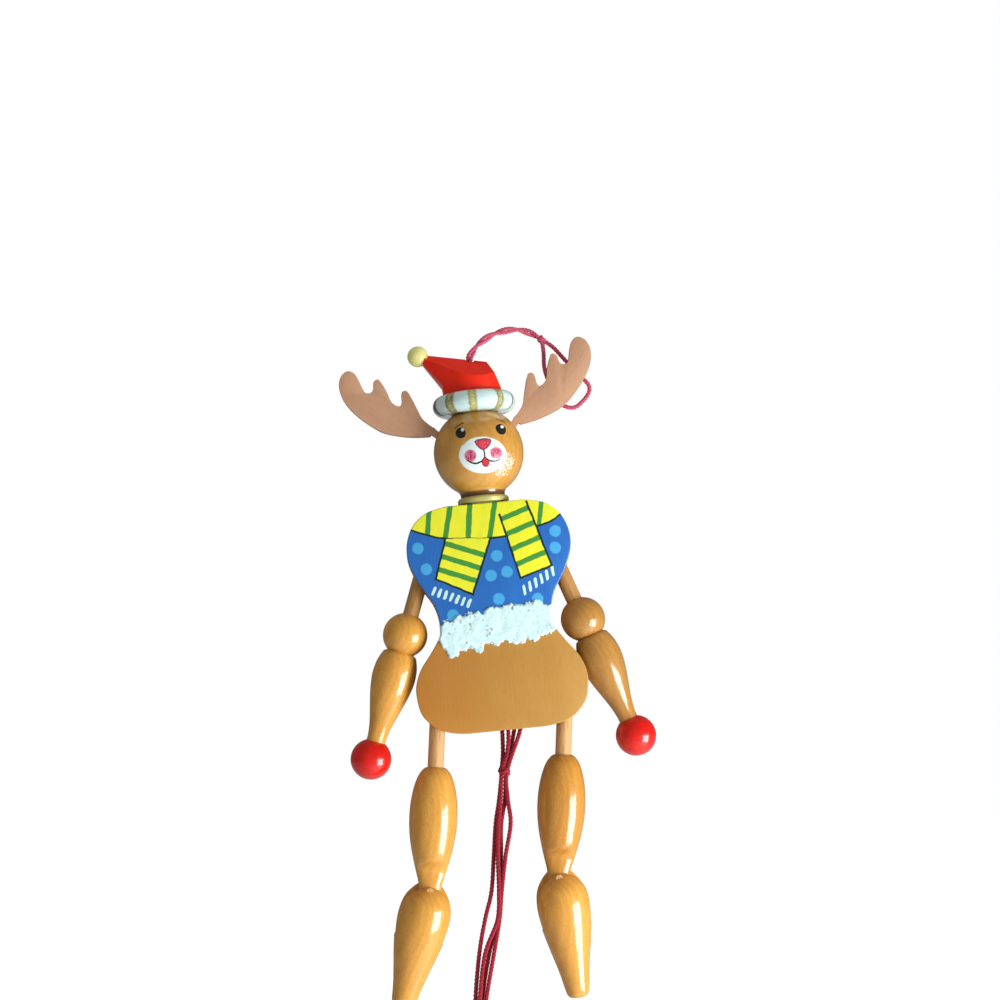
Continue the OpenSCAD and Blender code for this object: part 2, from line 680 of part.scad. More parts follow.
pull_strand(1);  // pull_strand_b
pull_strand(2);  // pull_strand_c
pull_strand(3);  // pull_strand_d
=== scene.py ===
"""Wooden reindeer jumping jack: its turned, sawn, painted and knotted pieces, dressed on the fixed frame.

Lengths in the classes are millimetres in the row's frame, with +Z up and the face looking along -Y.
"""

from __future__ import annotations

import json
import logging
import math
from dataclasses import dataclass, field
from enum import Enum
from functools import reduce
from typing import Any, Callable, ClassVar, Optional, Sequence, Union

import bmesh
import bpy
from mathutils import Matrix, Vector, noise

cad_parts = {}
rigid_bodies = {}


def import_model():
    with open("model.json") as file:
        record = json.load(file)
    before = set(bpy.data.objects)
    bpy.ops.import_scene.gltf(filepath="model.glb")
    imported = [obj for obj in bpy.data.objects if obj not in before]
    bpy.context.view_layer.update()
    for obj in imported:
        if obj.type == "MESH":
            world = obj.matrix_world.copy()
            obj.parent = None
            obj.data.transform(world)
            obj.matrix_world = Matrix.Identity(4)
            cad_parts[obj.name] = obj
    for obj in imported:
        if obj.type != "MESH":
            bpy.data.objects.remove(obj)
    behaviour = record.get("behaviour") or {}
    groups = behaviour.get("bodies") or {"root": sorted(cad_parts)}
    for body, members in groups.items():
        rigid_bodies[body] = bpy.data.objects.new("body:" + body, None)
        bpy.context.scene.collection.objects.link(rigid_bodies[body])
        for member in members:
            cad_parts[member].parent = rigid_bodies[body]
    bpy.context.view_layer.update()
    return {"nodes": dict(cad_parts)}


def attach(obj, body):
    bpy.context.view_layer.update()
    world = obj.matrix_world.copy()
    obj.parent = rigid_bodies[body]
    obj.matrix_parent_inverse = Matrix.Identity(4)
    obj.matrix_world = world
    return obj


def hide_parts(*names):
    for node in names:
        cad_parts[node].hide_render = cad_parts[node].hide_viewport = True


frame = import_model()

MM = 0.001
WELD = 1e-6
FACETS = 96
FINE_FACETS = 128
LOG = logging.getLogger("jumping jack")

Pair = tuple[float, float]
Triple = tuple[float, float, float]
Colour = tuple[float, float, float, float]
Oval = tuple[Pair, Pair, float]
Socket = bpy.types.NodeSocket
Shape = bmesh.types.BMesh

SHOULDER: Pair = (17.5, -55.7)
HIP: Pair = (19.2, -101.7)


def paint(red: int, green: int, blue: int) -> Colour:
    """A screen colour (0 to 255) as Blender holds it: linear, with alpha 1."""
    def linear(level: int) -> float:
        """One channel, taken out of the screen's curve."""
        share = level / 255
        return share / 12.92 if share <= 0.04045 else ((share + 0.055) / 1.055) ** 2.4

    return linear(red), linear(green), linear(blue), 1.0


class Side(Enum):
    """The side of the picture that a limb or antler is on."""

    LEFT = -1
    RIGHT = 1

    @property
    def word(self) -> str:
        """The side as node names end in it."""
        return self.name.lower()


# Shader maths


def by_node(operation: str, last: bool = False) -> Callable[..., Value]:
    """A method that puts a value through one Math node.

    Args:
        operation: What the node does.
        last: Whether the value comes after the other number.

    Returns:
        The method.
    """
    def method(self: Value, *others: Number) -> Value:
        """The node's result."""
        return self.graph.math(operation, *((*others, self) if last else (self, *others)))

    return method


class Value:
    """A number that changes over a surface: an output socket whose arithmetic adds Math nodes."""

    __add__, __radd__ = by_node("ADD"), by_node("ADD", last=True)
    __sub__, __rsub__ = by_node("SUBTRACT"), by_node("SUBTRACT", last=True)
    __mul__, __abs__ = by_node("MULTIPLY"), by_node("ABSOLUTE")
    sine, root = by_node("SINE"), by_node("SQRT")
    either, both = by_node("MAXIMUM"), by_node("MINIMUM")

    def __init__(self, graph: Graph, socket: Socket) -> None:
        """Wraps a socket of a graph."""
        self.graph = graph
        self.socket = socket

    def rest(self, step: float) -> Value:
        """Distance from the middle of the repeat that it lies in, for repeats of step centred on 0."""
        return self.graph.math("PINGPONG", self, step / 2)

    def below(self, edge: float, blur: float = 0.12) -> Value:
        """1 under an edge and 0 over it, with a soft step of twice blur."""
        return self.graph.step(self, edge + blur, edge - blur)

    def above(self, edge: float, blur: float = 0.12) -> Value:
        """1 over an edge and 0 under it, with a soft step of twice blur."""
        return self.graph.step(self, edge - blur, edge + blur)


Number = Union[Value, float]


class Graph:
    """The node tree of a material or of the sky."""

    def __init__(self, owner: Union[bpy.types.Material, bpy.types.World],
                 shader: str = "ShaderNodeBsdfPrincipled", output: str = "ShaderNodeOutputMaterial") -> None:
        """Starts a tree with one shader.

        Args:
            owner: What the tree belongs to.
            shader: The shader's type.
            output: Its output's type.
        """
        owner.use_nodes = True
        self.tree = owner.node_tree
        self.tree.nodes.clear()
        self.shader = self.node(shader)
        self.node(output, inputs={"Surface": self.shader.outputs[0]})

    def join(self, value: Any, socket: Socket) -> None:
        """Links a value to a socket, or sets the socket where it is a constant."""
        value = value.socket if isinstance(value, Value) else value
        if isinstance(value, Socket):
            self.tree.links.new(value, socket)
        else:
            socket.default_value = value

    def feed(self, **values: Any) -> None:
        """Links or sets sockets of the shader, by name with _ for a space."""
        for name, value in values.items():
            self.join(value, self.shader.inputs[name.replace("_", " ")])

    def node(self, kind: str, settings: Optional[dict[str, Any]] = None,
             inputs: Optional[dict[Any, Any]] = None) -> bpy.types.Node:
        """Adds a node.

        Args:
            kind: The node's type.
            settings: Its properties.
            inputs: Values or links by the socket's name or number.

        Returns:
            The node.
        """
        made = self.tree.nodes.new(kind)
        for key, value in (settings or {}).items():
            setattr(made, key, value)
        for key, value in (inputs or {}).items():
            self.join(value, made.inputs[key])
        return made

    def math(self, operation: str, *numbers: Number) -> Value:
        """The result of one Math node."""
        made = self.node("ShaderNodeMath", {"operation": operation}, dict(enumerate(numbers)))
        return Value(self, made.outputs[0])

    def step(self, number: Value, none: float, full: float) -> Value:
        """A smooth step from 0, where the number is none, to 1, where it is full."""
        made = self.node("ShaderNodeMapRange", {"interpolation_type": "SMOOTHSTEP"},
                         {"Value": number, "From Min": none, "From Max": full})
        return Value(self, made.outputs[0])

    def place(self, at: Triple = (0, 0, 0), lean: float = 0.0, twist: float = 0.0) -> Socket:
        """Places on the piece, in millimetres.

        Args:
            at: The point that they are counted from.
            lean: Turn of their axes about Y, in degrees.
            twist: Turn of their axes about Z, in degrees.

        Returns:
            The vector.
        """
        coords = self.node("ShaderNodeTexCoord").outputs["Object"]
        scaled = self.node("ShaderNodeVectorMath", {"operation": "SCALE"}, {0: coords, "Scale": 1 / MM})
        turn = (0, math.radians(lean), math.radians(twist))
        return self.node("ShaderNodeMapping", {"vector_type": "TEXTURE"},
                         {0: scaled.outputs[0], "Location": at, "Rotation": turn}).outputs[0]

    def split(self, vector: Socket) -> list[Value]:
        """The three numbers of a vector."""
        return [Value(self, part) for part in self.node("ShaderNodeSeparateXYZ", inputs={0: vector}).outputs]

    def joined(self, x: Number, y: Number) -> Socket:
        """A flat vector of two numbers."""
        return self.node("ShaderNodeCombineXYZ", inputs={0: x, 1: y}).outputs[0]

    def noise(self, vector: Socket, scale: Union[float, Triple], detail: float = 2.0,
              rough: float = 0.5) -> Value:
        """Cloudy noise of about 0.5.

        Args:
            vector: Where it is read.
            scale: Repeats per millimetre, in all directions or along each axis.
            detail: Octaves.
            rough: Strength of the finer ones.

        Returns:
            The noise.
        """
        if isinstance(scale, tuple):
            stretched = self.node("ShaderNodeVectorMath", {"operation": "MULTIPLY"}, {0: vector, 1: scale})
            vector, scale = stretched.outputs[0], 1.0
        made = self.node("ShaderNodeTexNoise", inputs={
            "Vector": vector, "Scale": scale, "Detail": detail, "Roughness": rough})
        return Value(self, made.outputs[0])

    def mix(self, share: Number, first: Any, second: Any) -> Socket:
        """One colour with a share of another, each a colour or a socket."""
        return self.node("ShaderNodeMix", {"data_type": "RGBA"}, {0: share, 6: first, 7: second}).outputs[2]

    def over(self, colour: Any, *layers: tuple[Number, Any]) -> Socket:
        """A colour with others laid over it in order, each by its share."""
        for share, other in layers:
            colour = self.mix(share, colour, other)
        return colour

    def distance(self, vector: Socket, point: Pair) -> Value:
        """Distance of a flat vector from a point."""
        made = self.node("ShaderNodeVectorMath", {"operation": "DISTANCE"}, {0: vector, 1: (*point, 0)})
        return Value(self, made.outputs["Value"])

    def relief(self, height: Value, depth: float, strength: float) -> None:
        """Bumps on the shader.

        Args:
            height: The bumps, about 0 to 1.
            depth: Their height, in millimetres.
            strength: How much of them shows.
        """
        self.feed(Normal=self.node("ShaderNodeBump", inputs={
            "Height": height, "Distance": depth * MM, "Strength": strength}).outputs[0])

    def seen(self, backdrop: Pair) -> tuple[Value, Value]:
        """Which rays see the white backdrop.

        Args:
            backdrop: How far back a shine's ray has to run to see none and all of it, as a cosine.

        Returns:
            Masks of shines, and of the camera's view with the shines that reach the backdrop.
        """
        rays = self.node("ShaderNodeLightPath").outputs
        camera, glossy, clear = (
            Value(self, rays[f"Is {kind} Ray"]) for kind in ("Camera", "Glossy", "Transmission"))
        shine = glossy.either(clear)
        _, came, _ = self.split(self.node("ShaderNodeNewGeometry").outputs["Incoming"])
        return shine, camera.either(shine * self.step(came, *backdrop))


class Drawing:
    """Marks drawn on a face, by places across it and up it in millimetres."""

    stripe_half: ClassVar[float] = 0.8
    outline_half: ClassVar[float] = 0.32
    brush_blur: ClassVar[float] = 0.08

    def __init__(self, graph: Graph, x: Value, z: Value) -> None:
        """Starts a drawing by places across (x) and up (z)."""
        self.graph, self.x, self.z = graph, x, z
        self.flat = graph.joined(x, z)

    def spot(self, at: Pair) -> Value:
        """Distance from a point."""
        return self.graph.distance(self.flat, at)

    def from_line(self, start: Pair, end: Pair) -> Value:
        """Distance to the right of a line, seen along it from start to end, and negative on its left."""
        run, rise = end[0] - start[0], end[1] - start[1]
        size = math.hypot(run, rise)
        return (self.x - start[0]) * (rise / size) - (self.z - start[1]) * (run / size)

    def edge(self, points: Sequence[Pair]) -> Value:
        """The height, at each place across, of an edge drawn through points in order of x."""
        low, high = points[0][0], points[-1][0]
        floor, top = min(p[1] for p in points) - 1, max(p[1] for p in points) + 1
        made = self.graph.node("ShaderNodeFloatCurve", inputs={"Value": (self.x - low) * (1 / (high - low))})
        curve = made.mapping.curves[0]
        while len(curve.points) < len(points):
            curve.points.new(0.5, 0.5)
        for point, (across, up) in zip(curve.points, points):
            point.location = (across - low) / (high - low), (up - floor) / (top - floor)
        made.mapping.update()
        return Value(self.graph, made.outputs[0]) * (top - floor) + floor

    def arc(self, points: Sequence[Pair], half: float) -> Value:
        """A brush line through points in order of x, with half its width."""
        within = self.x.above(points[0][0], self.brush_blur) * self.x.below(points[-1][0], self.brush_blur)
        return abs(self.z - self.edge(points)).below(half, 0.07) * within

    def oval(self, at: Pair, half: Pair, turn: float = 0.0) -> Value:
        """Distance from the middle of an oval, as a share of its size.

        Args:
            at: Its middle.
            half: Its half width and height.
            turn: Its turn, in degrees.

        Returns:
            1 on its rim.
        """
        c, s = math.cos(math.radians(turn)), math.sin(math.radians(turn))
        a = ((self.x - at[0]) * c + (self.z - at[1]) * s) * (1 / half[0])
        b = ((self.z - at[1]) * c - (self.x - at[0]) * s) * (1 / half[1])
        return (a * a + b * b).root()

    def tail(self, corners: Sequence[Pair], first: tuple[Pair, Pair], gap: float,
             count: int) -> tuple[Value, Value, Value]:
        """One hanging end of the scarf.

        Args:
            corners: Its corners, counter-clockwise from the top left.
            first: Two points on the middle of its first stripe, left to right.
            gap: Distance between its stripes.
            count: How many there are.

        Returns:
            Masks of the tail, of its stripes and of its outline.
        """
        depth = reduce(Value.both, (
            self.from_line(start, end) * -1 for start, end in zip(corners, [*corners[1:], corners[0]])))
        down = self.from_line(*first)
        stripes = down.rest(gap).below(self.stripe_half, 0.1)
        stripes = stripes * down.above(-gap / 2, 0.05) * down.below(gap * (count - 0.5), 0.05)
        sides = reduce(Value.both, (
            abs(self.from_line(start, end)) for start, end in zip(corners, corners[1:])))
        outline = sides.below(self.outline_half, self.brush_blur) * depth.above(-0.36, self.brush_blur)
        return depth.above(0), stripes * depth.above(0.1, 0.1), outline

    def fringe(self, start: Pair, end: Pair, count: int, slant: float, thread: Pair = (0.46, 1.4)) -> Value:
        """The threads under a tail.

        Args:
            start: Middle of the first thread.
            end: Middle of the last one.
            count: How many threads.
            slant: Sideways run per length of thread.
            thread: Half a thread's width and length.

        Returns:
            The mask.
        """
        run, rise = end[0] - start[0], end[1] - start[1]
        size = math.hypot(run, rise)
        across = self.from_line(start, end)
        along = (self.x - start[0]) * (run / size) + (self.z - start[1]) * (rise / size) - across * slant
        gap = size / (count - 1)
        wide, tall = along.rest(gap) * (1 / thread[0]), across * (1 / thread[1])
        wide, tall = wide * wide, tall * tall
        row = along.above(-gap / 2, 0.02) * along.below(size + gap / 2, 0.02)
        return (wide * wide + tall * tall).below(1.0, 0.3) * row


# Finishes


@dataclass(frozen=True)
class Timber:
    """How a piece of wood looks under its lacquer: rings round an off-centre pith, fibres and pores."""

    pale: Colour
    deep: Colour
    pore: Colour
    ring_gap: float = 1.7
    pith: Pair = (13.0, 7.0)
    ring_share: float = 0.4
    fibre_share: float = 0.55
    pore_share: float = 0.45

    def colour(self, graph: Graph, place: Socket) -> tuple[Socket, Value]:
        """The wood's colour and its fibres, with the grain along Z of place.

        Args:
            graph: The material.
            place: Places in millimetres, turned so that Z is along the grain.

        Returns:
            The colour, and the fibres as a number of about 0.5.
        """
        x, y, _ = graph.split(place)
        drift = graph.noise(place, (0.09, 0.09, 0.012), detail=2.0) - 0.5
        radius = graph.distance(graph.joined(x + drift * 5, y + drift * 4), self.pith)
        rings = (radius * (2 * math.pi / self.ring_gap)).sine() * 0.5 + 0.5
        fibres = graph.noise(place, (2.6, 2.6, 0.11), detail=3.0, rough=0.6)
        clouds = graph.noise(place, (0.16, 0.16, 0.06), detail=2.0)
        share = rings * self.ring_share + (fibres - 0.5) * self.fibre_share + clouds * 0.5 - 0.08
        base = graph.mix(share, self.pale, self.deep)
        pores = graph.noise(place, (5.5, 5.5, 0.35), detail=1.0).above(0.64, 0.05)
        return graph.mix(pores * self.pore_share, base, self.pore), fibres


AMBER = Timber(paint(236, 172, 76), paint(190, 122, 34), paint(112, 64, 16), ring_share=0.2, pore_share=0.3)
DEEP_AMBER = Timber(paint(216, 152, 62), paint(170, 106, 30), paint(98, 56, 14), ring_share=0.2,
                    pore_share=0.3)
BROWN_AMBER = Timber(paint(198, 143, 68), paint(154, 100, 36), paint(92, 54, 18), ring_share=0.2,
                     pore_share=0.3)
HEAD_AMBER = Timber(paint(220, 162, 74), paint(184, 122, 42), paint(116, 68, 18), ring_gap=2.6,
                    pith=(20.0, 12.0), ring_share=0.2, pore_share=0.3)
SKIRT = Timber(paint(200, 148, 68), paint(182, 126, 42), paint(140, 92, 34), ring_gap=5.5, pith=(3.0, 60.0),
               ring_share=0.34, fibre_share=0.4, pore_share=0.2)
BARE = Timber(paint(222, 176, 118), paint(188, 132, 74), paint(130, 84, 40), ring_gap=1.2, pith=(6.0, 3.0),
              ring_share=0.3)
# Wood for the arm dowels, darker as painted shade where the boards shade them.
PANEL_SHADED_WOOD = Timber(paint(198, 148, 86), paint(158, 106, 50), paint(104, 64, 26), ring_gap=1.2, pith=(6.0, 3.0),
               ring_share=0.3)
TAN = Timber(paint(206, 158, 124), paint(190, 142, 110), paint(142, 98, 70), ring_gap=3.2, pith=(2.0, 40.0),
             ring_share=0.3, pore_share=0.3)
BOARD = Timber(paint(224, 186, 134), paint(202, 156, 102), paint(150, 106, 62), ring_gap=4.5,
               pith=(5.0, 70.0), ring_share=0.3)


@dataclass(frozen=True)
class Coat:
    """A finished material, with the record's slot that it stands for."""

    material: bpy.types.Material
    slot: str


class Finish:
    """How a kind of surface looks, whatever the piece."""

    slot: str

    def lay(self, graph: Graph, place: Socket) -> None:
        """Builds the look in a material, by places on the piece."""
        raise NotImplementedError

    def coat_for(self, name: str, at: Triple = (0, 0, 0), lean: float = 0.0, twist: float = 0.0) -> Coat:
        """The finish for one piece.

        Args:
            name: The material's name.
            at: The point on the piece that places are counted from.
            lean: Turn of its axis or grain about Y, in degrees.
            twist: Turn of its front about Z, in degrees.

        Returns:
            The material and its slot.
        """
        material = bpy.data.materials.new(name)
        graph = Graph(material)
        self.lay(graph, graph.place(at, lean, twist))
        return Coat(material, self.slot)


@dataclass(frozen=True)
class Lacquered(Finish):
    """Turned wood under glossy clear lacquer, which takes dirt and dullness in patches."""

    timber: Timber
    dull: float = 0.34
    slot: str = "lacquered_wood"

    def glaze(self, graph: Graph, place: Socket) -> Value:
        """Sets the lacquer and returns its dull patches."""
        patches = graph.noise(place, 0.35, detail=3.0)
        graph.feed(Coat_Roughness=0.13, Coat_IOR=1.75, Specular_IOR_Level=0.2,
                   Roughness=patches * 0.16 + (self.dull - 0.06))
        return patches

    def lay(self, graph: Graph, place: Socket) -> None:
        """Wood under worn lacquer, with relief that follows the fibres."""
        colour, fibres = self.timber.colour(graph, place)
        patches = self.glaze(graph, place)
        worn = graph.noise(place, (1.5, 1.5, 0.8), detail=4.0, rough=0.7)
        graph.feed(Base_Color=colour, Coat_Weight=worn.above(0.5, 0.1) * 0.65 + 0.35)
        graph.relief(fibres * 0.6 + patches * 0.4, 0.05, 0.5)


@dataclass(frozen=True)
class Gloss(Finish):
    """Opaque gloss paint over turned wood, with brush swirls, small runs and painted shade under a height."""

    colour: Colour
    shade: Colour
    slot: str = "red_lacquer"
    coat: float = 0.8
    metal: float = 0.0
    dull: float = 0.3
    soil: Colour = paint(64, 54, 22)
    soiled: float = -100.0

    def lay(self, graph: Graph, place: Socket) -> None:
        """Paint in clouds, swirls and specks."""
        clouds = graph.noise(place, 0.22, detail=3.0)
        brushed = graph.noise(place, (0.5, 0.5, 3.4), detail=3.0, rough=0.6)
        specks = graph.noise(place, 2.2, detail=1.0).above(0.73, 0.03)
        base = graph.mix(clouds * 0.9 + brushed * 0.35 - 0.35, self.colour, self.shade)
        _, _, z = graph.split(place)
        # Under the set height the paint darkens: painted shade, as along the ring's lower edge against the
        # board.
        base = graph.mix((z + clouds * 0.5 - 0.25).below(self.soiled, 0.25) * 0.8, base, self.soil)
        graph.feed(Coat_Weight=self.coat, Coat_Roughness=0.1, Metallic=self.metal, Specular_IOR_Level=0.3,
                   Base_Color=graph.mix(specks * 0.35, base, self.shade),
                   Roughness=brushed * 0.18 + (self.dull - 0.08))
        graph.relief(brushed * 0.5 + clouds * 0.5, 0.06, 0.45)


RED = Gloss(paint(232, 26, 8), paint(192, 10, 6), coat=0.9)
HAT_RED = Gloss(paint(250, 42, 6), paint(228, 24, 4), coat=0.12, dull=0.5)
# The ring's gold carries painted shade along its lower edge.
GOLD = Gloss(paint(224, 218, 136), paint(150, 140, 72), slot="gold_paint", coat=0.25, metal=0.15, dull=0.42,
             soiled=0.55)
PALE_GOLD = Gloss(paint(254, 252, 166), paint(196, 188, 96), slot="gold_paint", coat=0.3, dull=0.42)


@dataclass(frozen=True)
class Plain(Finish):
    """Bare wood, or wood darkened as painted shade between the boards, dull, with raised fibres, and plies in
    board edges.
    """

    timber: Timber
    slot: str
    dull: float = 0.62
    plies: float = 0.0
    ply_from: float = 0.0
    outer_ply: ClassVar[tuple[Colour, Colour]] = (paint(206, 166, 116), paint(160, 116, 70))
    inner_ply: ClassVar[tuple[Colour, Colour]] = (paint(176, 128, 80), paint(122, 82, 46))

    def lay(self, graph: Graph, place: Socket) -> None:
        """Wood with its fibres raised."""
        colour, fibres = self.timber.colour(graph, place)
        if self.plies:
            colour = self.edges(graph, place, colour)
        graph.feed(Specular_IOR_Level=0.35, Base_Color=colour, Roughness=fibres * 0.2 + (self.dull - 0.1))
        graph.relief(fibres, 0.09, 0.6)

    def edges(self, graph: Graph, place: Socket, face: Socket) -> Socket:
        """The face's colour, with plies where the board's edges show."""
        _, y, _ = graph.split(place)
        _, across, _ = graph.split(graph.node("ShaderNodeNewGeometry").outputs["True Normal"])
        is_edge = abs(across).below(0.6, 0.15)
        inner = abs(y - self.ply_from - self.plies * 1.5).below(self.plies / 2, 0.05)
        end_grain = graph.noise(place, (1.6, 5.0, 1.6), detail=2.0)
        cut = graph.mix(end_grain, *self.outer_ply)
        core = graph.mix(inner, cut, graph.mix(end_grain, *self.inner_ply))
        return graph.mix(is_edge, face, core)


PIN_WOOD = Plain(BARE, "dowel_wood")


@dataclass(frozen=True)
class Twine(Finish):
    """Cotton twine: soft, dull, with fibres along its plies and paler fluff on them."""

    colour: Colour
    shade: Colour
    fluff: Colour
    slot: str

    def lay(self, graph: Graph, place: Socket) -> None:
        """Dyed plies with hairs standing off them."""
        hairs = graph.noise(place, 4.5, detail=3.0, rough=0.65)
        dye = graph.noise(place, 0.35, detail=2.0)
        base = graph.mix(hairs * 1.1 + dye * 0.7 - 0.45, self.colour, self.shade)
        graph.feed(Sheen_Weight=0.35, Sheen_Roughness=0.45, Specular_IOR_Level=0.2,
                   Base_Color=graph.mix(hairs.above(0.6, 0.07) * 0.5, base, self.fluff),
                   Roughness=hairs * 0.2 + 0.68)
        graph.relief(hairs, 0.12, 0.7)


RED_TWINE = Twine(paint(184, 22, 48), paint(116, 8, 28), paint(226, 100, 122), "red_string")
PINK_TWINE = Twine(paint(224, 98, 126), paint(176, 48, 80), paint(240, 164, 182), "hanging_cord")


@dataclass(frozen=True)
class PaintedFront(Finish):
    """The body's front: striped scarf and dotted sweater in hand-laid paint over a lacquered board."""

    slot: str = "painted_body"
    front: float = -6.5
    thickness: float = 3.6
    paint_from: float = -84.0
    paint_at: Triple = (-0.3, 0.0, 0.0)
    yellow: Colour = paint(250, 246, 40)
    lime: Colour = paint(200, 230, 52)
    green: Colour = paint(70, 160, 58)
    deep_green: Colour = paint(58, 148, 58)
    line: Colour = paint(4, 40, 34)
    blue: Colour = paint(32, 118, 200)
    deep_blue: Colour = paint(22, 94, 182)
    dot: Colour = paint(70, 176, 232)
    thread: Colour = paint(208, 246, 234)
    # Deeper amber laid towards the skirt's left: painted shade.
    warm: Colour = paint(194, 118, 22)
    ply: Colour = paint(190, 148, 98)
    glue: Colour = paint(132, 92, 54)
    scarf_edge: tuple[Pair, ...] = (
        (-26.0, -49.0), (-22.2, -50.9), (-17.4, -52.8), (-12.8, -54.2), (-5.8, -55.0), (0.7, -55.4),
        (5.9, -55.2), (11.6, -54.2), (15.9, -53.0), (19.4, -52.1), (22.5, -50.3), (26.0, -48.4))
    collar_stripes: tuple[tuple[Pair, Pair, float], ...] = (
        ((-16.7, -47.0), (-17.5, -52.1), 0.76), ((-10.4, -46.1), (-12.3, -53.7), 0.8),
        ((-4.3, -45.7), (-5.6, -54.6), 0.84), ((3.1, -45.8), (1.0, -54.6), 0.8),
        ((17.2, -46.4), (16.0, -52.4), 0.7))
    tails: tuple[tuple[tuple[Pair, ...], tuple[Pair, Pair], float, int], ...] = (
        (((-12.4, -54.4), (-16.4, -66.1), (-5.8, -71.7), (1.0, -55.4)),
         ((-12.2, -55.9), (-1.7, -60.2)), 4.0, 3),
        (((4.4, -48.7), (8.8, -68.1), (18.5, -65.3), (12.8, -45.5)),
         ((5.3, -49.9), (13.0, -47.4)), 4.75, 4))
    fringes: tuple[tuple[Pair, Pair, int, float], ...] = (
        ((-17.3, -69.6), (-7.2, -74.2), 7, -0.05), ((9.6, -71.9), (18.6, -67.0), 6, -0.42))
    dots: tuple[Pair, ...] = (
        (-20.8, -56.5), (-18.9, -62.9), (2.4, -60.9), (0.1, -66.6), (5.0, -65.9), (1.8, -73.8), (20.5, -55.1),
        (20.1, -60.1), (-12.3, -77.3), (13.3, -74.8))
    dot_radius: float = 1.72
    line_half: float = 0.31

    def lay(self, graph: Graph, place: Socket) -> None:
        """Lays wood, sweater, dots, fringes, collar and tails one over the other."""
        true_x, y, true_z = graph.split(place)
        hand = graph.noise(place, 0.45, detail=2.0) - 0.5
        hand_too = graph.noise(place, (0.5, 1.0, 0.5), detail=2.0) - 0.5
        drawing = Drawing(graph, true_x + hand * 0.5, true_z + hand_too * 0.5)
        streaks = graph.noise(place, (1.6, 1.0, 0.07), detail=3.0, rough=0.6)
        strokes = graph.noise(place, (0.5, 1.0, 0.18), detail=2.0)

        wood, fibres = SKIRT.colour(graph, place)
        # The wood deepens towards the left: painted shade, as the light falls from the right.
        wood = graph.mix(graph.step(true_x + strokes * 8, 12.0, -26.0) * 0.75, wood, self.warm)

        spots = reduce(Value.either, (drawing.spot(at).below(self.dot_radius, 0.2) for at in self.dots))
        threads = reduce(Value.either, (drawing.fringe(*row) for row in self.fringes))
        below_edge = drawing.z - drawing.edge(self.scarf_edge)
        stripes = reduce(Value.either, (abs(drawing.from_line(top, bottom)).below(half, 0.12)
                                        for top, bottom, half in self.collar_stripes))
        wash = graph.mix(strokes * 0.9 - 0.35, self.yellow, self.lime)
        green = graph.mix(streaks, self.green, self.deep_green)
        colour = graph.over(
            graph.mix(streaks * 0.9 + strokes * 0.6 - 0.3, self.blue, self.deep_blue),
            (spots * 0.92, self.dot), (threads, self.thread),
            (below_edge.above(0, 0.1), graph.mix(stripes, wash, green)),
            (abs(below_edge).below(self.line_half, 0.08), self.line))
        for tail in self.tails:
            cloth, bars, outline = drawing.tail(*tail)
            colour = graph.over(colour, (cloth, graph.mix(bars, wash, green)), (outline, self.line))
        colour = graph.mix(true_z.above(self.paint_from, 0.3), wood, colour)

        edge = abs(y - (self.front + self.thickness / 2)).below(1.45, 0.15)
        plies = (y - self.front).rest(2.0).below(0.5, 0.1)
        graph.feed(Base_Color=graph.mix(edge, colour, graph.mix(plies, self.ply, self.glue)),
                   Roughness=0.4 + streaks * 0.12 + edge * 0.2, Coat_Weight=0.5 - edge * 0.4,
                   Coat_Roughness=0.12)
        graph.relief(streaks * 0.7 + fibres * 0.3, 0.06, 0.8)


@dataclass(frozen=True)
class SnowPaste(Finish):
    """Thick matt paste of the fur trim: blue-white, grainy, with grey dirt in its hollows."""

    slot: str = "painted_body"
    snow: Colour = paint(216, 245, 246)
    hollow: Colour = paint(190, 220, 226)
    dirt: Colour = paint(104, 126, 124)
    top: tuple[Pair, ...] = (
        (-19.0, -79.6), (-16.1, -79.1), (-14.2, -78.7), (-10.2, -77.6), (-5.2, -76.9), (-1.3, -76.3),
        (1.8, -75.9), (4.4, -75.8), (8.6, -75.8), (13.2, -75.7), (15.1, -76.4), (17.2, -78.0), (19.0, -78.9))
    bottom: tuple[Pair, ...] = (
        (-19.0, -82.0), (-17.2, -83.6), (-16.4, -86.7), (-14.1, -90.1), (-12.1, -88.6), (-9.3, -87.9),
        (-5.6, -88.7), (-1.6, -87.0), (3.3, -86.9), (7.5, -87.1), (12.1, -86.6), (16.5, -85.1), (19.0, -84.0))

    def lay(self, graph: Graph, place: Socket) -> None:
        """Lumps, and specks of dirt in some places."""
        lumps = graph.noise(place, 1.1, detail=4.0, rough=0.65)
        where = graph.noise(place, 0.24, detail=1.0).above(0.58, 0.05)
        specks = graph.noise(place, 1.1, detail=3.0, rough=0.6).above(0.58, 0.04)
        lone = graph.noise(place, 0.9, detail=1.0).above(0.72, 0.03)
        colour = graph.mix(lumps * 1.8 - 0.75, self.snow, self.hollow)
        graph.feed(Base_Color=graph.mix((specks * where).either(lone) * 0.65, colour, self.dirt),
                   Roughness=lumps * 0.2 + 0.6, Specular_IOR_Level=0.3)
        graph.relief(lumps, 0.05, 0.4)


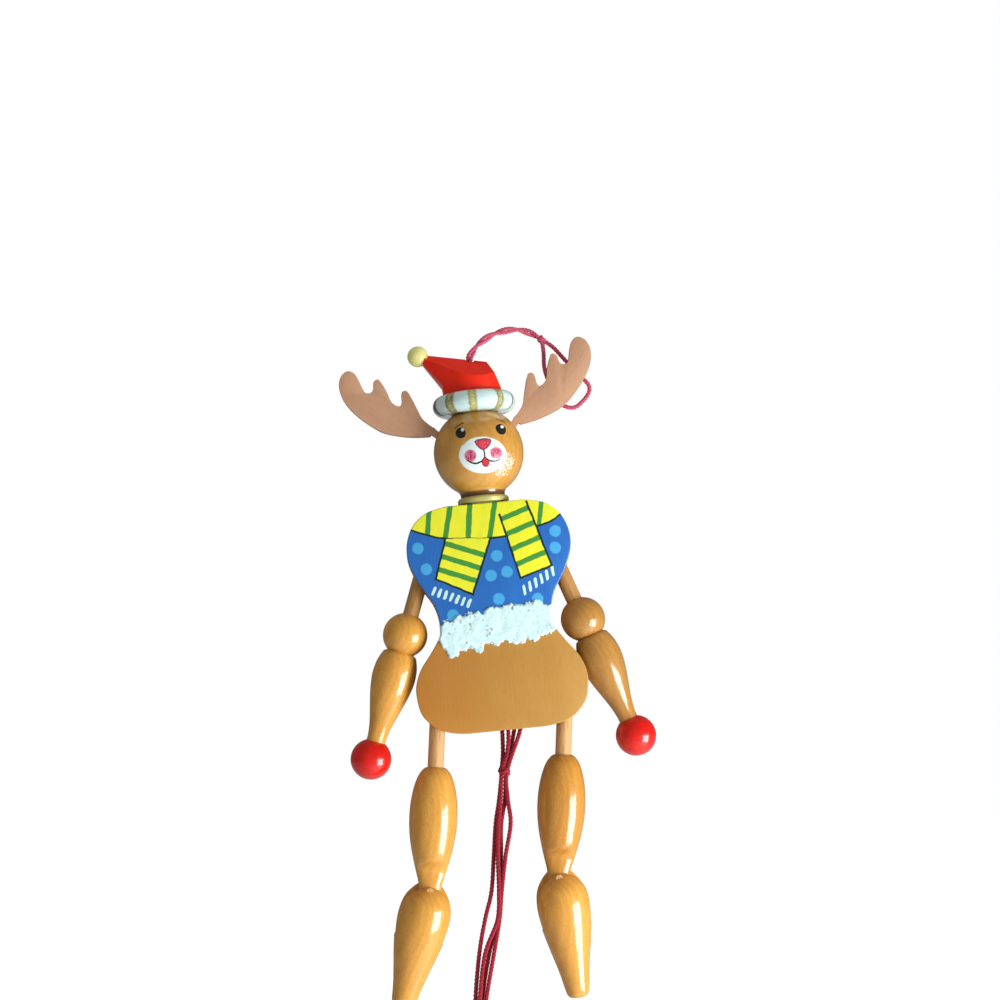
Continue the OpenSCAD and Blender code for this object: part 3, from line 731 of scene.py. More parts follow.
@dataclass(frozen=True)
class PaintedHead(Finish):
    """The head's lacquered wood with its painted face, in places counted from the middle of the ball."""

    slot: str = "painted_head"
    wood: Lacquered = Lacquered(HEAD_AMBER, dull=0.36)
    white: Colour = paint(232, 248, 246)
    worn_white: tuple[Colour, Colour] = (paint(248, 238, 208), paint(206, 230, 220))
    scuffed: Colour = paint(246, 214, 150)
    ink: Colour = paint(30, 26, 18)
    iris: Colour = paint(44, 42, 24)
    halo: Colour = paint(236, 178, 104)
    brow: Colour = paint(64, 24, 12)
    rose: Colour = paint(218, 52, 66)
    nose_rose: Colour = paint(232, 84, 96)
    madder: Colour = paint(178, 26, 62)
    rose_edge: Colour = paint(126, 62, 82)
    # Painted shade for the neck under the ball.
    blush: Colour = paint(222, 104, 144)
    stain: Colour = paint(58, 34, 14)
    muzzle: Oval = ((1.15, -2.35), (7.1, 5.35), -4.0)
    worn_patch: Oval = ((7.4, -5.7), (4.2, 2.3), 48.0)
    # Pale scuff near the brim: worn paint and a painted highlight both.
    scuff: Oval = ((5.4, 10.1), (2.0, 0.7), -24.0)
    nose: Oval = ((1.6, 0.6), (2.8, 2.25), 0.0)
    nose_depth: float = 2.2
    tongue: Oval = ((1.78, -4.5), (1.2, 1.55), 0.0)
    mouth_middle: float = 1.72
    stem: Triple = (1.68, -1.1, -3.2)
    mouth_half: float = 0.25
    brow_half: float = 0.19
    eye_half: Pair = (1.52, 1.75)
    glint_half: Pair = (0.5, 0.55)
    stain_from: float = -12.1
    cheek_half: Pair = (1.8, 1.8)
    cheeks: tuple[Pair, ...] = ((-2.5, -2.4), (5.2, -2.2))
    nose_sides: tuple[tuple[Pair, float], ...] = (((3.2, 2.64), 4.2), ((0.02, 2.73), 4.2), ((1.6, -6.9), 9.3))
    mouth: tuple[tuple[Pair, ...], ...] = (
        ((-3.5, -3.5), (-2.6, -4.25), (-1.3, -4.72), (0.2, -4.5), (1.1, -3.8), (1.7, -2.9)),
        ((1.7, -2.9), (2.3, -3.7), (3.2, -4.35), (4.5, -4.55), (5.6, -4.3), (6.3, -3.8)))
    brows: tuple[tuple[Pair, ...], ...] = (
        ((-6.3, 6.5), (-5.1, 7.5), (-3.5, 8.1)), ((5.8, 8.5), (7.5, 8.1), (8.9, 7.1)))
    eyes: tuple[tuple[Pair, Pair, float], ...] = (
        ((-4.75, 4.9), (-4.1, 5.8), 8.0), ((7.3, 5.1), (7.7, 5.9), 18.0))

    def lay(self, graph: Graph, place: Socket) -> None:
        """Lays muzzle, cheeks, nose, tongue, lines and eyes over the wood, on the front half only."""
        true_x, y, true_z = graph.split(place)
        hand = graph.noise(place, 0.6, detail=1.0) - 0.5
        face = Drawing(graph, true_x + hand * 0.3, true_z - hand * 0.3)
        bare, fibres = self.wood.timber.colour(graph, place)
        front = y.below(0, 0.5)

        muzzle = face.oval(*self.muzzle).below(1.0, 0.03)
        chipped = graph.noise(place, 1.3, detail=3.0, rough=0.65)
        patch = face.oval(*self.worn_patch) + (chipped - 0.5) * 1.6
        flakes = graph.noise(place, 1.5, detail=4.0, rough=0.6)
        worn = patch.below(0.85, 0.15) * flakes.above(0.5, 0.04)
        muzzle = muzzle * (1 - patch.below(0.7, 0.15) * flakes.below(0.46, 0.04))
        # A pale patch near the brim, part worn paint and part painted highlight.
        scuff = (face.oval(*self.scuff) + (chipped - 0.5) * 1.6).below(0.9, 0.2)
        chips = graph.mix(chipped * 2 - 0.6, *self.worn_white)
        colour = graph.over(bare, (muzzle, self.white), (worn, chips), (scuff * 0.7, self.scuffed))

        crumble = graph.noise(place, 2.6, detail=3.0, rough=0.6) - 0.5
        stipple = graph.noise(place, 1.9, detail=1.0).above(0.5, 0.05)
        for at in self.cheeks:
            cheek = face.oval(at, self.cheek_half) + crumble * 0.25
            colour = graph.over(colour, (cheek.below(1.0, 0.14) * 0.9, self.blush),
                                (cheek.below(0.8, 0.3) * (stipple * 0.75 + 0.2), self.madder))

        nose = reduce(Value.both, (radius - face.spot(point) for point, radius in self.nose_sides),
                      self.nose_depth - face.oval(*self.nose) * self.nose_depth)
        tongue = face.oval(*self.tongue)
        under = (face.z + abs(face.x - self.mouth_middle) * 0.85).below(-3.1, 0.1)
        at, top, foot = self.stem
        stem = abs(face.x - at).below(0.2, 0.08) * face.z.below(top, 0.1) * face.z.above(foot, 0.1)
        mouth = reduce(Value.either, (face.arc(half, self.mouth_half) for half in self.mouth)).either(stem)
        brows = reduce(Value.either, (face.arc(brow, self.brow_half) for brow in self.brows))
        colour = graph.over(
            colour, (nose.above(-0.05, 0.08), self.rose_edge),
            (nose.above(0.3, 0.14), graph.mix(stipple * 0.6, self.nose_rose, self.madder)),
            (tongue.below(1.0, 0.1) * under, self.rose_edge),
            (tongue.below(0.78, 0.14) * under, graph.mix(stipple * 0.5, self.rose, self.madder)),
            (mouth, self.ink), (brows, self.brow))
        for at, light, turn in self.eyes:
            eye = face.oval(at, self.eye_half, turn)
            low = face.z.below(at[1] - 0.1, 0.5)
            colour = graph.over(
                colour, (eye.below(1.14, 0.06) * 0.5, self.halo), (eye.below(1.0, 0.06), self.ink),
                (eye.below(0.72, 0.2) * low * 0.5, self.iris),
                (face.oval(light, self.glint_half).below(1.0, 0.15), self.white))

        colour = graph.mix(front, bare, colour)
        self.wood.glaze(graph, place)
        # Below the ball the neck is darkened with painted shade, standing for the shadow between head and
        # ring.
        graph.feed(Base_Color=graph.mix(true_z.below(self.stain_from, 0.35) * 0.85, colour, self.stain),
                   Coat_Weight=(1 - muzzle * front) * 0.55 + 0.25)
        graph.relief(fibres * 0.5 + muzzle * front * 0.8 - worn * front * 0.9, 0.06, 0.6)


@dataclass(frozen=True)
class PaintedBrim(Finish):
    """White gloss paint on the hat's brim, with gold strokes over its front and dark lines near its ends."""

    slot: str = "brim_paint"
    white: Colour = paint(194, 232, 238)
    cream: Colour = paint(222, 236, 222)
    gold: Colour = paint(206, 198, 112)
    olive: Colour = paint(112, 106, 48)
    dark: Colour = paint(46, 60, 62)
    seam: Colour = paint(150, 120, 70)
    golds: tuple[Triple, ...] = (
        (-36.0, 7.0, 0.3), (-1.0, 6.0, -0.1), (41.0, 6.0, 0.15), (-118.0, 6.0, 0.0), (112.0, 6.0, 0.0),
        (180.0, 6.0, 0.0))
    darks: tuple[Pair, ...] = ((-72.0, 5.5), (71.0, 2.2))

    def lay(self, graph: Graph, place: Socket) -> None:
        """Lays strokes over the white, each by its turn about Z and half its width in degrees."""
        x, y, z = graph.split(place)
        wash = graph.noise(place, (0.5, 0.5, 0.2), detail=2.0)
        grit = graph.noise(place, 1.6, detail=3.0, rough=0.7)
        colour = graph.mix(wash * 1.4 - 0.2, self.white, self.cream)
        turn = graph.math("ARCTAN2", x, y * -1) * (180 / math.pi)
        rough_turn = turn + (grit - 0.5) * 7
        for at, half, age in self.golds:
            off = abs(rough_turn - at)
            rims = off.above(half * 0.55, 1.5)
            gold = graph.mix(grit * 3.2 - 1.35 + rims * 0.5 + age, self.gold, self.olive)
            colour = graph.mix(off.below(half, 2.0) * 0.92, colour, gold)
        for at, half in self.darks:
            stroke = abs(turn + (wash - 0.5) * 6 - at).below(half, 1.5)
            colour = graph.mix(stroke * 0.9, colour, self.dark)
        graph.feed(Base_Color=graph.mix(z.above(2.75, 0.12) * 0.5, colour, self.seam),
                   Roughness=0.3 + grit * 0.15, Coat_Weight=0.5, Coat_Roughness=0.12)
        graph.relief(grit * 0.5 + wash * 0.5, 0.07, 0.5)


# Shaping


def smooth_line(points: Sequence[Sequence[float]], steps: int = 6) -> list[tuple[float, ...]]:
    """A smooth line through points of two or three numbers, in some steps between each two."""
    line, last = [], len(points) - 1
    for i in range(last):
        a, b, c, d = points[max(i - 1, 0)], points[i], points[i + 1], points[min(i + 2, last)]
        for k in range(steps):
            t = k / steps
            line.append(tuple(
                (2 * q + (r - p) * t + (2 * p - 5 * q + 4 * r - s) * t ** 2
                 + (3 * q - p - 3 * r + s) * t ** 3) / 2
                for p, q, r, s in zip(a, b, c, d)))
    return line + [tuple(points[-1])]


def height_at(line: Sequence[Pair], x: float) -> float:
    """The height of a line at a place across, level beyond its ends."""
    for (a, low), (b, high) in zip(line, line[1:]):
        if a <= x <= b:
            return low + (high - low) * (x - a) / (b - a)
    return line[0][1] if x < line[0][0] else line[-1][1]


def up(distance: float) -> Matrix:
    """A move along Z by millimetres."""
    return Matrix.Translation((0, 0, distance * MM))


def moved(bm: Shape, matrix: Matrix) -> Shape:
    """A body in a new place."""
    bmesh.ops.transform(bm, matrix=matrix, verts=bm.verts[:])
    return bm


def spun(profile: Sequence[Pair], steps: int = FACETS) -> Shape:
    """A turned body about Z.

    Args:
        profile: Radii and heights in millimetres, from one end of the axis to the other.
        steps: Facets round it.

    Returns:
        The body.
    """
    bm = bmesh.new()
    line = [bm.verts.new((radius * MM, 0, height * MM)) for radius, height in profile]
    edges = [bm.edges.new(ends) for ends in zip(line, line[1:])]
    bmesh.ops.spin(bm, geom=line + edges, cent=(0, 0, 0), axis=(0, 0, 1), dvec=(0, 0, 0), angle=2 * math.pi,
                   steps=steps, use_merge=True, use_normal_flip=False, use_duplicate=False)
    bmesh.ops.remove_doubles(bm, verts=bm.verts[:], dist=WELD)
    bmesh.ops.recalc_face_normals(bm, faces=bm.faces[:])
    return bm


def ball(radius: float, low: float = -90.0, high: float = 90.0, steps: int = 40) -> list[Pair]:
    """The profile of a ball from one latitude up to another, as radii and heights from the top down."""
    turns = [math.radians(high + (low - high) * i / steps) for i in range(steps + 1)]
    return [(radius * max(math.cos(t), 0.0) if abs(math.cos(t)) > 1e-6 else 0.0, radius * math.sin(t))
            for t in turns]


def half_round(outer: float, half: float, steps: int) -> list[Pair]:
    """The profile of a rim that is rounded to a half circle, from the top down."""
    turns = (math.pi / 2 - math.pi * i / steps for i in range(steps + 1))
    return [(outer - half + half * math.cos(t), half * math.sin(t)) for t in turns]


def linked(name: str, data: bpy.types.ID) -> bpy.types.Object:
    """An object in the scene that shows data."""
    made = bpy.data.objects.new(name, data)
    bpy.context.scene.collection.objects.link(made)
    return made


def as_object(name: str, bm: Shape) -> bpy.types.Object:
    """A mesh as an object in the scene."""
    mesh = bpy.data.meshes.new(name)
    bm.to_mesh(mesh)
    bm.free()
    return linked(name, mesh)


def add_shape(bm: Shape, work: bpy.types.Object, *tools: bpy.types.Object) -> None:
    """Adds to a body the mesh that an object comes to, and removes the object and its tools."""
    done = bpy.data.meshes.new_from_object(work.evaluated_get(bpy.context.evaluated_depsgraph_get()))
    bm.from_mesh(done)
    spare = (work, *tools)
    bpy.data.batch_remove((*spare, *(used.data for used in spare), done))


def slotted(bm: Shape, size: Triple, at: Triple) -> Shape:
    """A body after a saw cut of a box's size and middle, in millimetres."""
    box = bmesh.new()
    bmesh.ops.create_cube(box, size=1.0)
    bmesh.ops.scale(box, vec=Vector(size) * MM, verts=box.verts[:])
    tool = as_object("tool", moved(box, Matrix.Translation(Vector(at) * MM)))
    work = as_object("work", bm)
    cut = work.modifiers.new("cut", "BOOLEAN")
    cut.operation, cut.object, cut.solver = "DIFFERENCE", tool, "EXACT"
    result = bmesh.new()
    add_shape(result, work, tool)
    return result


def eased(bm: Shape, width: float, angle: float, segments: int,
          wanted: Callable[[bmesh.types.BMEdge], bool] = lambda edge: True) -> Shape:
    """A body whose sharp edges have been sanded round.

    Args:
        bm: The body.
        width: Width of the rounding in millimetres.
        angle: How sharp an edge is to be rounded, in degrees.
        segments: Facets across the rounding.
        wanted: Which edges may be rounded.

    Returns:
        The same body.
    """
    sharp = [edge for edge in bm.edges if len(edge.link_faces) == 2
             and edge.calc_face_angle() > math.radians(angle) and wanted(edge)]
    bmesh.ops.bevel(bm, geom=sharp, offset=width * MM, offset_type="OFFSET", affect="EDGES",
                    segments=segments, profile=0.5, material=-1, clamp_overlap=True)
    return bm


def from_frame(node: str) -> Shape:
    """A merged copy of a CAD node's mesh, with flat faces in one piece."""
    bm = bmesh.new()
    bm.from_mesh(frame["nodes"][node].data)
    bmesh.ops.remove_doubles(bm, verts=bm.verts[:], dist=WELD)
    bmesh.ops.dissolve_limit(bm, angle_limit=math.radians(0.5), verts=bm.verts[:], edges=bm.edges[:],
                             use_dissolve_boundaries=False, delimit=set())
    return bm


def wear(shown: bpy.types.Object, coat: Coat) -> None:
    """Gives an object one material all over."""
    shown.data.materials.clear()
    shown.data.materials.append(coat.material)
    for face in shown.data.polygons:
        face.material_index = 0


def fitted(name: str, bm: Shape, coat: Coat, body: str, *nodes: str,
           crease: float = 40.0) -> bpy.types.Object:
    """Puts a finished mesh on a body in place of CAD nodes.

    Args:
        name: The piece's name.
        bm: Its mesh, in place.
        coat: Its finish.
        body: The body that it rides on.
        nodes: The nodes that it replaces.
        crease: Angle over which an edge stays sharp.

    Returns:
        The piece.
    """
    made = as_object(name, bm)
    wear(made, coat)
    made.data.shade_smooth()
    made.data.set_sharp_from_angle(angle=math.radians(crease))
    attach(made, body)
    if nodes:
        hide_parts(*nodes)
    LOG.info("%s: %d faces on %s", name, len(made.data.polygons), body)
    return made


def dress(node: str, coat: Coat) -> None:
    """Gives a CAD node that stays its material."""
    wear(frame["nodes"][node], coat)
    LOG.info("%s: dressed", node)


@dataclass(frozen=True)
class Stand:
    """Where a limb starts: its pin at the origin of its own frame, and the limb along -Z."""

    pin: Triple
    lean: float

    @property
    def matrix(self) -> Matrix:
        """From the limb's frame to the row's, in metres."""
        return Matrix.Translation(Vector(self.pin) * MM) @ Matrix.Rotation(math.radians(self.lean), 4, "Y")

    def along(self, reach: float) -> Triple:
        """The point at a distance down the limb, in millimetres."""
        turn = math.radians(self.lean)
        return (self.pin[0] - reach * math.sin(turn), self.pin[1], self.pin[2] - reach * math.cos(turn))


# Cords


def length_of(line: Sequence[Vector]) -> float:
    """The length of a line, in its own units."""
    return sum((b - a).length for a, b in zip(line, line[1:]))


@dataclass
class CordShape:
    """How three plies are laid up into a cord."""

    thickness: float
    pitch: float
    plies: ClassVar[int] = 3
    step: ClassVar[float] = 0.3
    curve_steps: ClassVar[int] = 16
    rounding: ClassVar[int] = 2

    @property
    def ply(self) -> float:
        """Radius of one ply."""
        return self.thickness / 4

    def resampled(self, points: Sequence[Triple]) -> list[Vector]:
        """The route through points, in millimetres, at even steps."""
        line = [Vector(p) for p in smooth_line(points, self.curve_steps)]
        total = length_of(line)
        count = max(4, round(total / self.step))
        even, done, gap = [line[0]], 0.0, total / count
        for a, b in zip(line, line[1:]):
            stretch = (b - a).length
            while len(even) <= count and len(even) * gap <= done + stretch + 1e-9:
                even.append(a.lerp(b, (len(even) * gap - done) / stretch))
            done += stretch
        even[-1] = line[-1]
        return even

    def wound(self, line: Sequence[Vector], reach: float, pitch: float, phase: float) -> list[Vector]:
        """A line that winds round another.

        Args:
            line: The line in the middle.
            reach: Distance from it, in millimetres.
            pitch: Length of a turn.
            phase: Where round it the line starts, in radians.

        Returns:
            The winding line.
        """
        way = (line[1] - line[0]).normalized()
        side = way.orthogonal().normalized()
        wound, run = [], 0.0
        for i, point in enumerate(line):
            ahead = (line[min(i + 1, len(line) - 1)] - line[max(i - 1, 0)]).normalized()
            side = (side - ahead * side.dot(ahead)).normalized()
            if i:
                run += (point - line[i - 1]).length
            turn = phase + 2 * math.pi * run / pitch
            over = ahead.cross(side)
            wound.append(point + side * (reach * math.cos(turn)) + over * (reach * math.sin(turn)))
        return wound

    def strand(self, line: Sequence[Vector], phase: float = 0.0) -> list[list[Vector]]:
        """The middle lines of the plies round a strand's, turned by a phase."""
        turns = (phase + 2 * math.pi * k / self.plies for k in range(self.plies))
        return [self.wound(line, self.thickness / 2 - self.ply, self.pitch, turn) for turn in turns]

    def mesh(self, lines: Sequence[Sequence[Vector]]) -> Shape:
        """A ply's tube along each line."""
        bm = bmesh.new()
        for line in lines:
            data = bpy.data.curves.new("ply", "CURVE")
            data.dimensions, data.use_fill_caps = "3D", True
            data.bevel_depth, data.bevel_resolution = self.ply * MM, self.rounding
            spline = data.splines.new("POLY")
            spline.points.add(len(line) - 1)
            for point, place in zip(spline.points, line):
                point.co = (*(place * MM), 1.0)
            add_shape(bm, linked("ply", data))
        bmesh.ops.remove_doubles(bm, verts=bm.verts[:], dist=WELD / 10)
        bmesh.ops.recalc_face_normals(bm, faces=bm.faces[:])
        return bm


KNOT_STEPS = 90
KNOT_TUBE = 0.145
KNOT_DEPTH = 1.35
KNOT_FULLNESS = 1.18


def knot(at: Triple, size: float, lean: float = 0.0) -> Shape:
    """An overhand knot, pulled tight.

    Args:
        at: Its middle.
        size: Its width, in millimetres.
        lean: Its turn about Y, in degrees.

    Returns:
        Its turns of twine.
    """
    tube = size * KNOT_TUBE
    reach = (size / 2 - tube) / 3
    line = []
    for i in range(KNOT_STEPS + 1):
        t = 2 * math.pi * i / KNOT_STEPS
        line.append(Vector((
            reach * (math.sin(t) + 2 * math.sin(2 * t)),
            reach * (math.cos(t) - 2 * math.cos(2 * t)),
            -reach * KNOT_DEPTH * math.sin(3 * t))))
    shape = CordShape(2 * tube * KNOT_FULLNESS, pitch=size)
    turn = Matrix.Rotation(math.radians(lean), 4, "Y")
    return moved(shape.mesh(shape.strand(line)), Matrix.Translation(Vector(at) * MM) @ turn)


# Sub-assemblies


@dataclass
class Body:
    """The two boards, what holds them apart, and the ring under the head."""

    panel_top: float = -44.7
    ring_height: float = 2.5
    ring_width: float = 15.6
    ring_bore: float = 5.04
    ring_line: Pair = (0.12, 0.16)
    ease: float = 0.35
    trim_low: float = -92.0
    trim_step: float = 0.2
    trim_rows: int = 92
    trim_columns: int = 190
    trim_reach: float = 12.0
    trim_depth: float = 0.7
    trim_round: float = 0.7
    torn: float = 1.5
    torn_grain: float = 0.42
    lump_grain: float = 0.34
    lump_share: float = 0.22
    lump_least: float = 0.8
    rim_slope: float = 0.9
    rim_start: float = 0.02
    sunk: float = 0.1
    pin_room: float = 1.6
    pins: ClassVar[list[Pair]] = [(side.value * x, z) for side in Side for x, z in (SHOULDER, HIP)]

    def away_from_pins(self, edge: bmesh.types.BMEdge) -> bool:
        """Whether an edge is no rim of a pin's bore."""
        place = (edge.verts[0].co + edge.verts[1].co) / 2 / MM
        return all(math.hypot(place.x - x, place.z - z) > self.pin_room for x, z in self.pins)

    def board(self, node: str) -> Shape:
        """A board with sanded edges."""
        return eased(from_frame(node), self.ease, angle=50.0, segments=3, wanted=self.away_from_pins)

    def ring(self) -> Shape:
        """The ring, with a round rim and a bead line in the middle of it."""
        half, inner = self.ring_height / 2, self.ring_bore / 2
        deep, wide = self.ring_line
        rim = [(r - deep * math.exp(-(z / wide) ** 2), z)
               for r, z in half_round(self.ring_width / 2, half, 24)]
        return moved(spun([(inner, half), *rim, (inner, -half), (inner, half)]), up(self.panel_top + half))

    def waist(self) -> list[Triple]:
        """The front board's edges beside the trim: height, left and right, from the bottom up."""
        face = [v.co / MM for v in frame["nodes"]["front_panel"].data.vertices]
        rim = sorted({(round(p.z, 3), round(p.x, 3)) for p in face if abs(p.y - PaintedFront.front) < 0.01})
        sides = []
        for step in range(self.trim_rows + 1):
            height = self.trim_low + step * self.trim_step
            ends = []
            for side in (-1, 1):
                line = [(z, x) for z, x in rim if x * side > self.trim_reach]
                below = max(p for p in line if p[0] <= height)
                over = min(p for p in line if p[0] > height)
                ends.append(below[1] + (over[1] - below[1]) * (height - below[0]) / (over[0] - below[0]))
            sides.append((height, *ends))
        return sides

    def fur(self) -> Shape:
        """The fur trim: paste laid across the board's waist in lumps, with torn edges sunk in the paint."""
        front = PaintedFront.front
        top, bottom = smooth_line(SnowPaste.top), smooth_line(SnowPaste.bottom)
        bm = bmesh.new()
        grid: list[list[tuple[bmesh.types.BMVert, bool]]] = []
        for z, left, right in self.waist():
            row = []
            for i in range(self.trim_columns + 1):
                x = left + (right - left) * i / self.trim_columns
                at = Vector((x, 0.0, z))
                torn = noise.fractal(at * self.torn_grain, 0.9, 2.0, 4) * self.torn
                drawn = x - PaintedFront.paint_at[0]
                inside = min(height_at(top, drawn) - z + torn, z - height_at(bottom, drawn) + torn,
                             *(gap * self.rim_slope + self.rim_start for gap in (x - left, right - x)))
                rise = min(max(inside / self.trim_round, 0.0), 1.0)
                lumps = self.lump_least + self.lump_share * noise.fractal(at * self.lump_grain, 1.0, 2.0, 3)
                thick = self.trim_depth * rise * (2 - rise) * lumps
                y = front - thick if inside > 0 else front + self.sunk
                row.append((bm.verts.new(Vector((x, y, z)) * MM), inside > 0))
            grid.append(row)
        for low, high in zip(grid, grid[1:]):
            for i in range(self.trim_columns):
                corners = (low[i], low[i + 1], high[i + 1], high[i])
                if any(shown for _, shown in corners):
                    bm.faces.new([vert for vert, _ in corners])
        bmesh.ops.delete(bm, geom=[vert for vert in bm.verts if not vert.link_faces], context="VERTS")
        return bm

    def build(self) -> None:
        """Makes and dresses the pieces."""
        fitted("fur_trim_paste", self.fur(), SnowPaste().coat_for("snow paste"), "body", crease=70.0)
        fitted("front_board", self.board("front_panel"),
               PaintedFront().coat_for("painted front", PaintedFront.paint_at), "body", "front_panel")
        back = Plain(BOARD, "plain_plywood", plies=1.0, ply_from=3.5)
        fitted("back_board", self.board("back_panel"), back.coat_for("plain board"), "body", "back_panel")
        ring_gold = GOLD.coat_for("ring gold", (0, 0, self.panel_top))
        fitted("neck_collar", self.ring(), ring_gold, "body", "neck_ring")
        dress("neck_block", Plain(BARE, "plain_wood", dull=0.7).coat_for("block wood"))
        across = PIN_WOOD.coat_for("pin wood")
        for node in ("waist_posts", "shoulder_pins", "hip_pins", "neck_peg", "hat_peg"):
            dress(node, across)


@dataclass
class Head:
    """Head, antlers and hat."""

    middle: float = -28.7
    radius: float = 13.65
    neck_radius: float = 6.7
    neck_drop: float = 13.5
    neck_fillet: float = 0.5
    neck_ease: float = 0.25
    neck_curve: ClassVar[tuple[Pair, ...]] = ((0.28, -0.4), (0.08, -0.8), (0.0, -1.1))
    turned: float = -2.55
    brim_radius: float = 12.55
    brim_height: float = 6.2
    brim_middle: float = -13.8
    seat_rings: ClassVar[list[float]] = [6.6 - 0.6 * i for i in range(8)]
    bore: float = 2.02
    glue: float = 0.02
    bead_radius: float = 3.15
    bead_at: Triple = (-15.63, 0.0, 2.38)
    bead_lean: float = -53.0
    antler_leans: dict[Side, float] = field(default_factory=lambda: {Side.LEFT: -49.0, Side.RIGHT: 41.0})

    def ball(self) -> Shape:
        """The ball with its short neck, turned in one piece."""
        neck, foot = self.neck_radius, -self.neck_drop
        meet = math.degrees(math.acos((neck + self.neck_fillet) / self.radius))
        profile = ball(self.radius, -meet, 90.0, 56)
        profile += [(neck + out, profile[-1][1] + rise) for out, rise in self.neck_curve]
        profile += [(neck, foot + self.neck_ease), (neck - self.neck_ease, foot), (0.0, foot)]
        return moved(spun(profile, FINE_FACETS), up(self.middle))

    def brim(self) -> Shape:
        """The brim's roll, closed above and hollowed to sit on the ball."""
        half, seat_radius = self.brim_height / 2, self.radius + self.glue
        lift = self.brim_middle - self.middle
        seat = [(r, math.sqrt(seat_radius ** 2 - r * r) - lift) for r in self.seat_rings]
        foot = math.sqrt(seat_radius ** 2 - (lift - half) ** 2)
        profile = [(self.bore, half), *half_round(self.brim_radius, half, 40), (foot, -half), *seat,
                   (self.bore, seat[-1][1]), (self.bore, half)]
        return moved(spun(profile, FINE_FACETS), up(self.brim_middle))

    def bead(self) -> Shape:
        """The bead on the hat's tip."""
        return moved(spun(ball(self.bead_radius, steps=32), 64), Stand(self.bead_at, self.bead_lean).matrix)

    def build(self) -> None:
        """Makes and dresses the pieces."""
        fitted("head_ball", self.ball(), PaintedHead().coat_for(
            "painted head", (0.0, 0.0, self.middle), twist=self.turned), "body", "head")
        for side in Side:
            node = f"antler_{side.word}"
            coat = Plain(TAN, "antler_plywood", dull=0.5, plies=2.5 / 3, ply_from=-1.25).coat_for(
                f"{node} board", (0, 0, -20.0), self.antler_leans[side])
            board = eased(from_frame(node), width=0.28, angle=50.0, segments=2)
            fitted(f"{node}_board", board, coat, "body", node, crease=60.0)
        fitted("brim_roll", self.brim(), PaintedBrim().coat_for(
            "painted brim", (0.0, 0.0, self.brim_middle), twist=self.turned), "body", "hat_brim")
        cap = eased(from_frame("hat_cap"), width=0.45, angle=24.0, segments=4)
        fitted("hat_top", cap, HAT_RED.coat_for("hat red"), "body", "hat_cap")
        bead_gold = PALE_GOLD.coat_for("bead gold", self.bead_at, self.bead_lean)
        fitted("hat_bead", self.bead(), bead_gold, "body", "pompom")


@dataclass
class Arm:
    """One arm: its dowel, the elbow ball and forearm turned in one piece, and the hand."""

    side: Side
    stand: Stand
    timber: Timber
    elbow_reach: float = 27.7
    elbow_radius: float = 6.7
    forearm_radius: float = 6.5
    groove_share: float = 0.165
    groove_radius: float = 4.4
    groove_room: Pair = (0.1, 0.5)
    groove_overlap: float = 0.98
    groove: ClassVar[tuple[Pair, ...]] = ((0.0, 0.15), (0.5, 0.35))
    wrist_radius: float = 2.85
    hand_reach: float = 38.3
    hand_radius: float = 6.1
    spigot_radius: float = 1.6
    spigot: float = 4.0
    swell: ClassVar[tuple[Pair, ...]] = (
        (0.19, 0.8), (0.27, 0.94), (0.36, 1.0), (0.45, 0.985), (0.57, 0.88), (0.7, 0.71), (0.83, 0.54),
        (0.93, 0.455))

    @property
    def wrist_at(self) -> float:
        """Distance from the hand's middle to the wrist's end."""
        return math.sqrt(self.hand_radius ** 2 - self.wrist_radius ** 2)

    def forearm(self) -> Shape:
        """Elbow ball and forearm, with a crisp V groove between them."""
        length = self.hand_reach - self.wrist_at
        groove_at = -self.groove_share * length
        meet = math.degrees(math.asin(groove_at / self.elbow_radius * self.groove_overlap))
        groove = [(self.groove_radius + out, groove_at - down) for out, down in self.groove]
        over, under = groove_at + self.groove_room[0], groove_at - self.groove_room[1]
        bulge = smooth_line([(s * self.forearm_radius, -share * length) for share, s in self.swell]
                            + [(self.wrist_radius, -length)])
        end = -length - self.spigot
        tip = [(self.spigot_radius, -length), (self.spigot_radius, end), (0.0, end)]
        return spun([p for p in ball(self.elbow_radius, meet, 90.0, 36) if p[1] > over] + groove
                    + [p for p in bulge if p[1] < under] + tip)

    def hand(self) -> Shape:
        """The hand, with a flat where the wrist meets it."""
        top = math.degrees(math.asin(self.wrist_at / self.hand_radius))
        return spun([(0.0, self.wrist_at)] + ball(self.hand_radius, -90.0, top, 44))

    def build(self) -> None:
        """Makes and dresses the arm."""
        word, lean = self.side.word, self.stand.lean
        elbow, palm = self.elbow_reach, self.elbow_reach + self.hand_reach
        for name, node, look, bm, finish, reach in (
                ("forearm_turned", "forearm", "forearm wood", self.forearm(), Lacquered(self.timber), elbow),
                ("palm_turned", "hand", "hand red", self.hand(), RED, palm)):
            coat = finish.coat_for(f"{look} {word}", self.stand.along(reach), lean)
            in_place = moved(bm, self.stand.matrix @ up(-reach))
            fitted(f"{name}_{word}", in_place, coat, f"arm_{word}", f"{node}_{word}")
        # The arm dowel takes the darker wood: painted shade from the boards.
        dress(f"arm_dowel_{word}", Plain(PANEL_SHADED_WOOD, "dowel_wood", dull=0.5).coat_for(
            f"arm dowel {word}", self.stand.pin, lean))


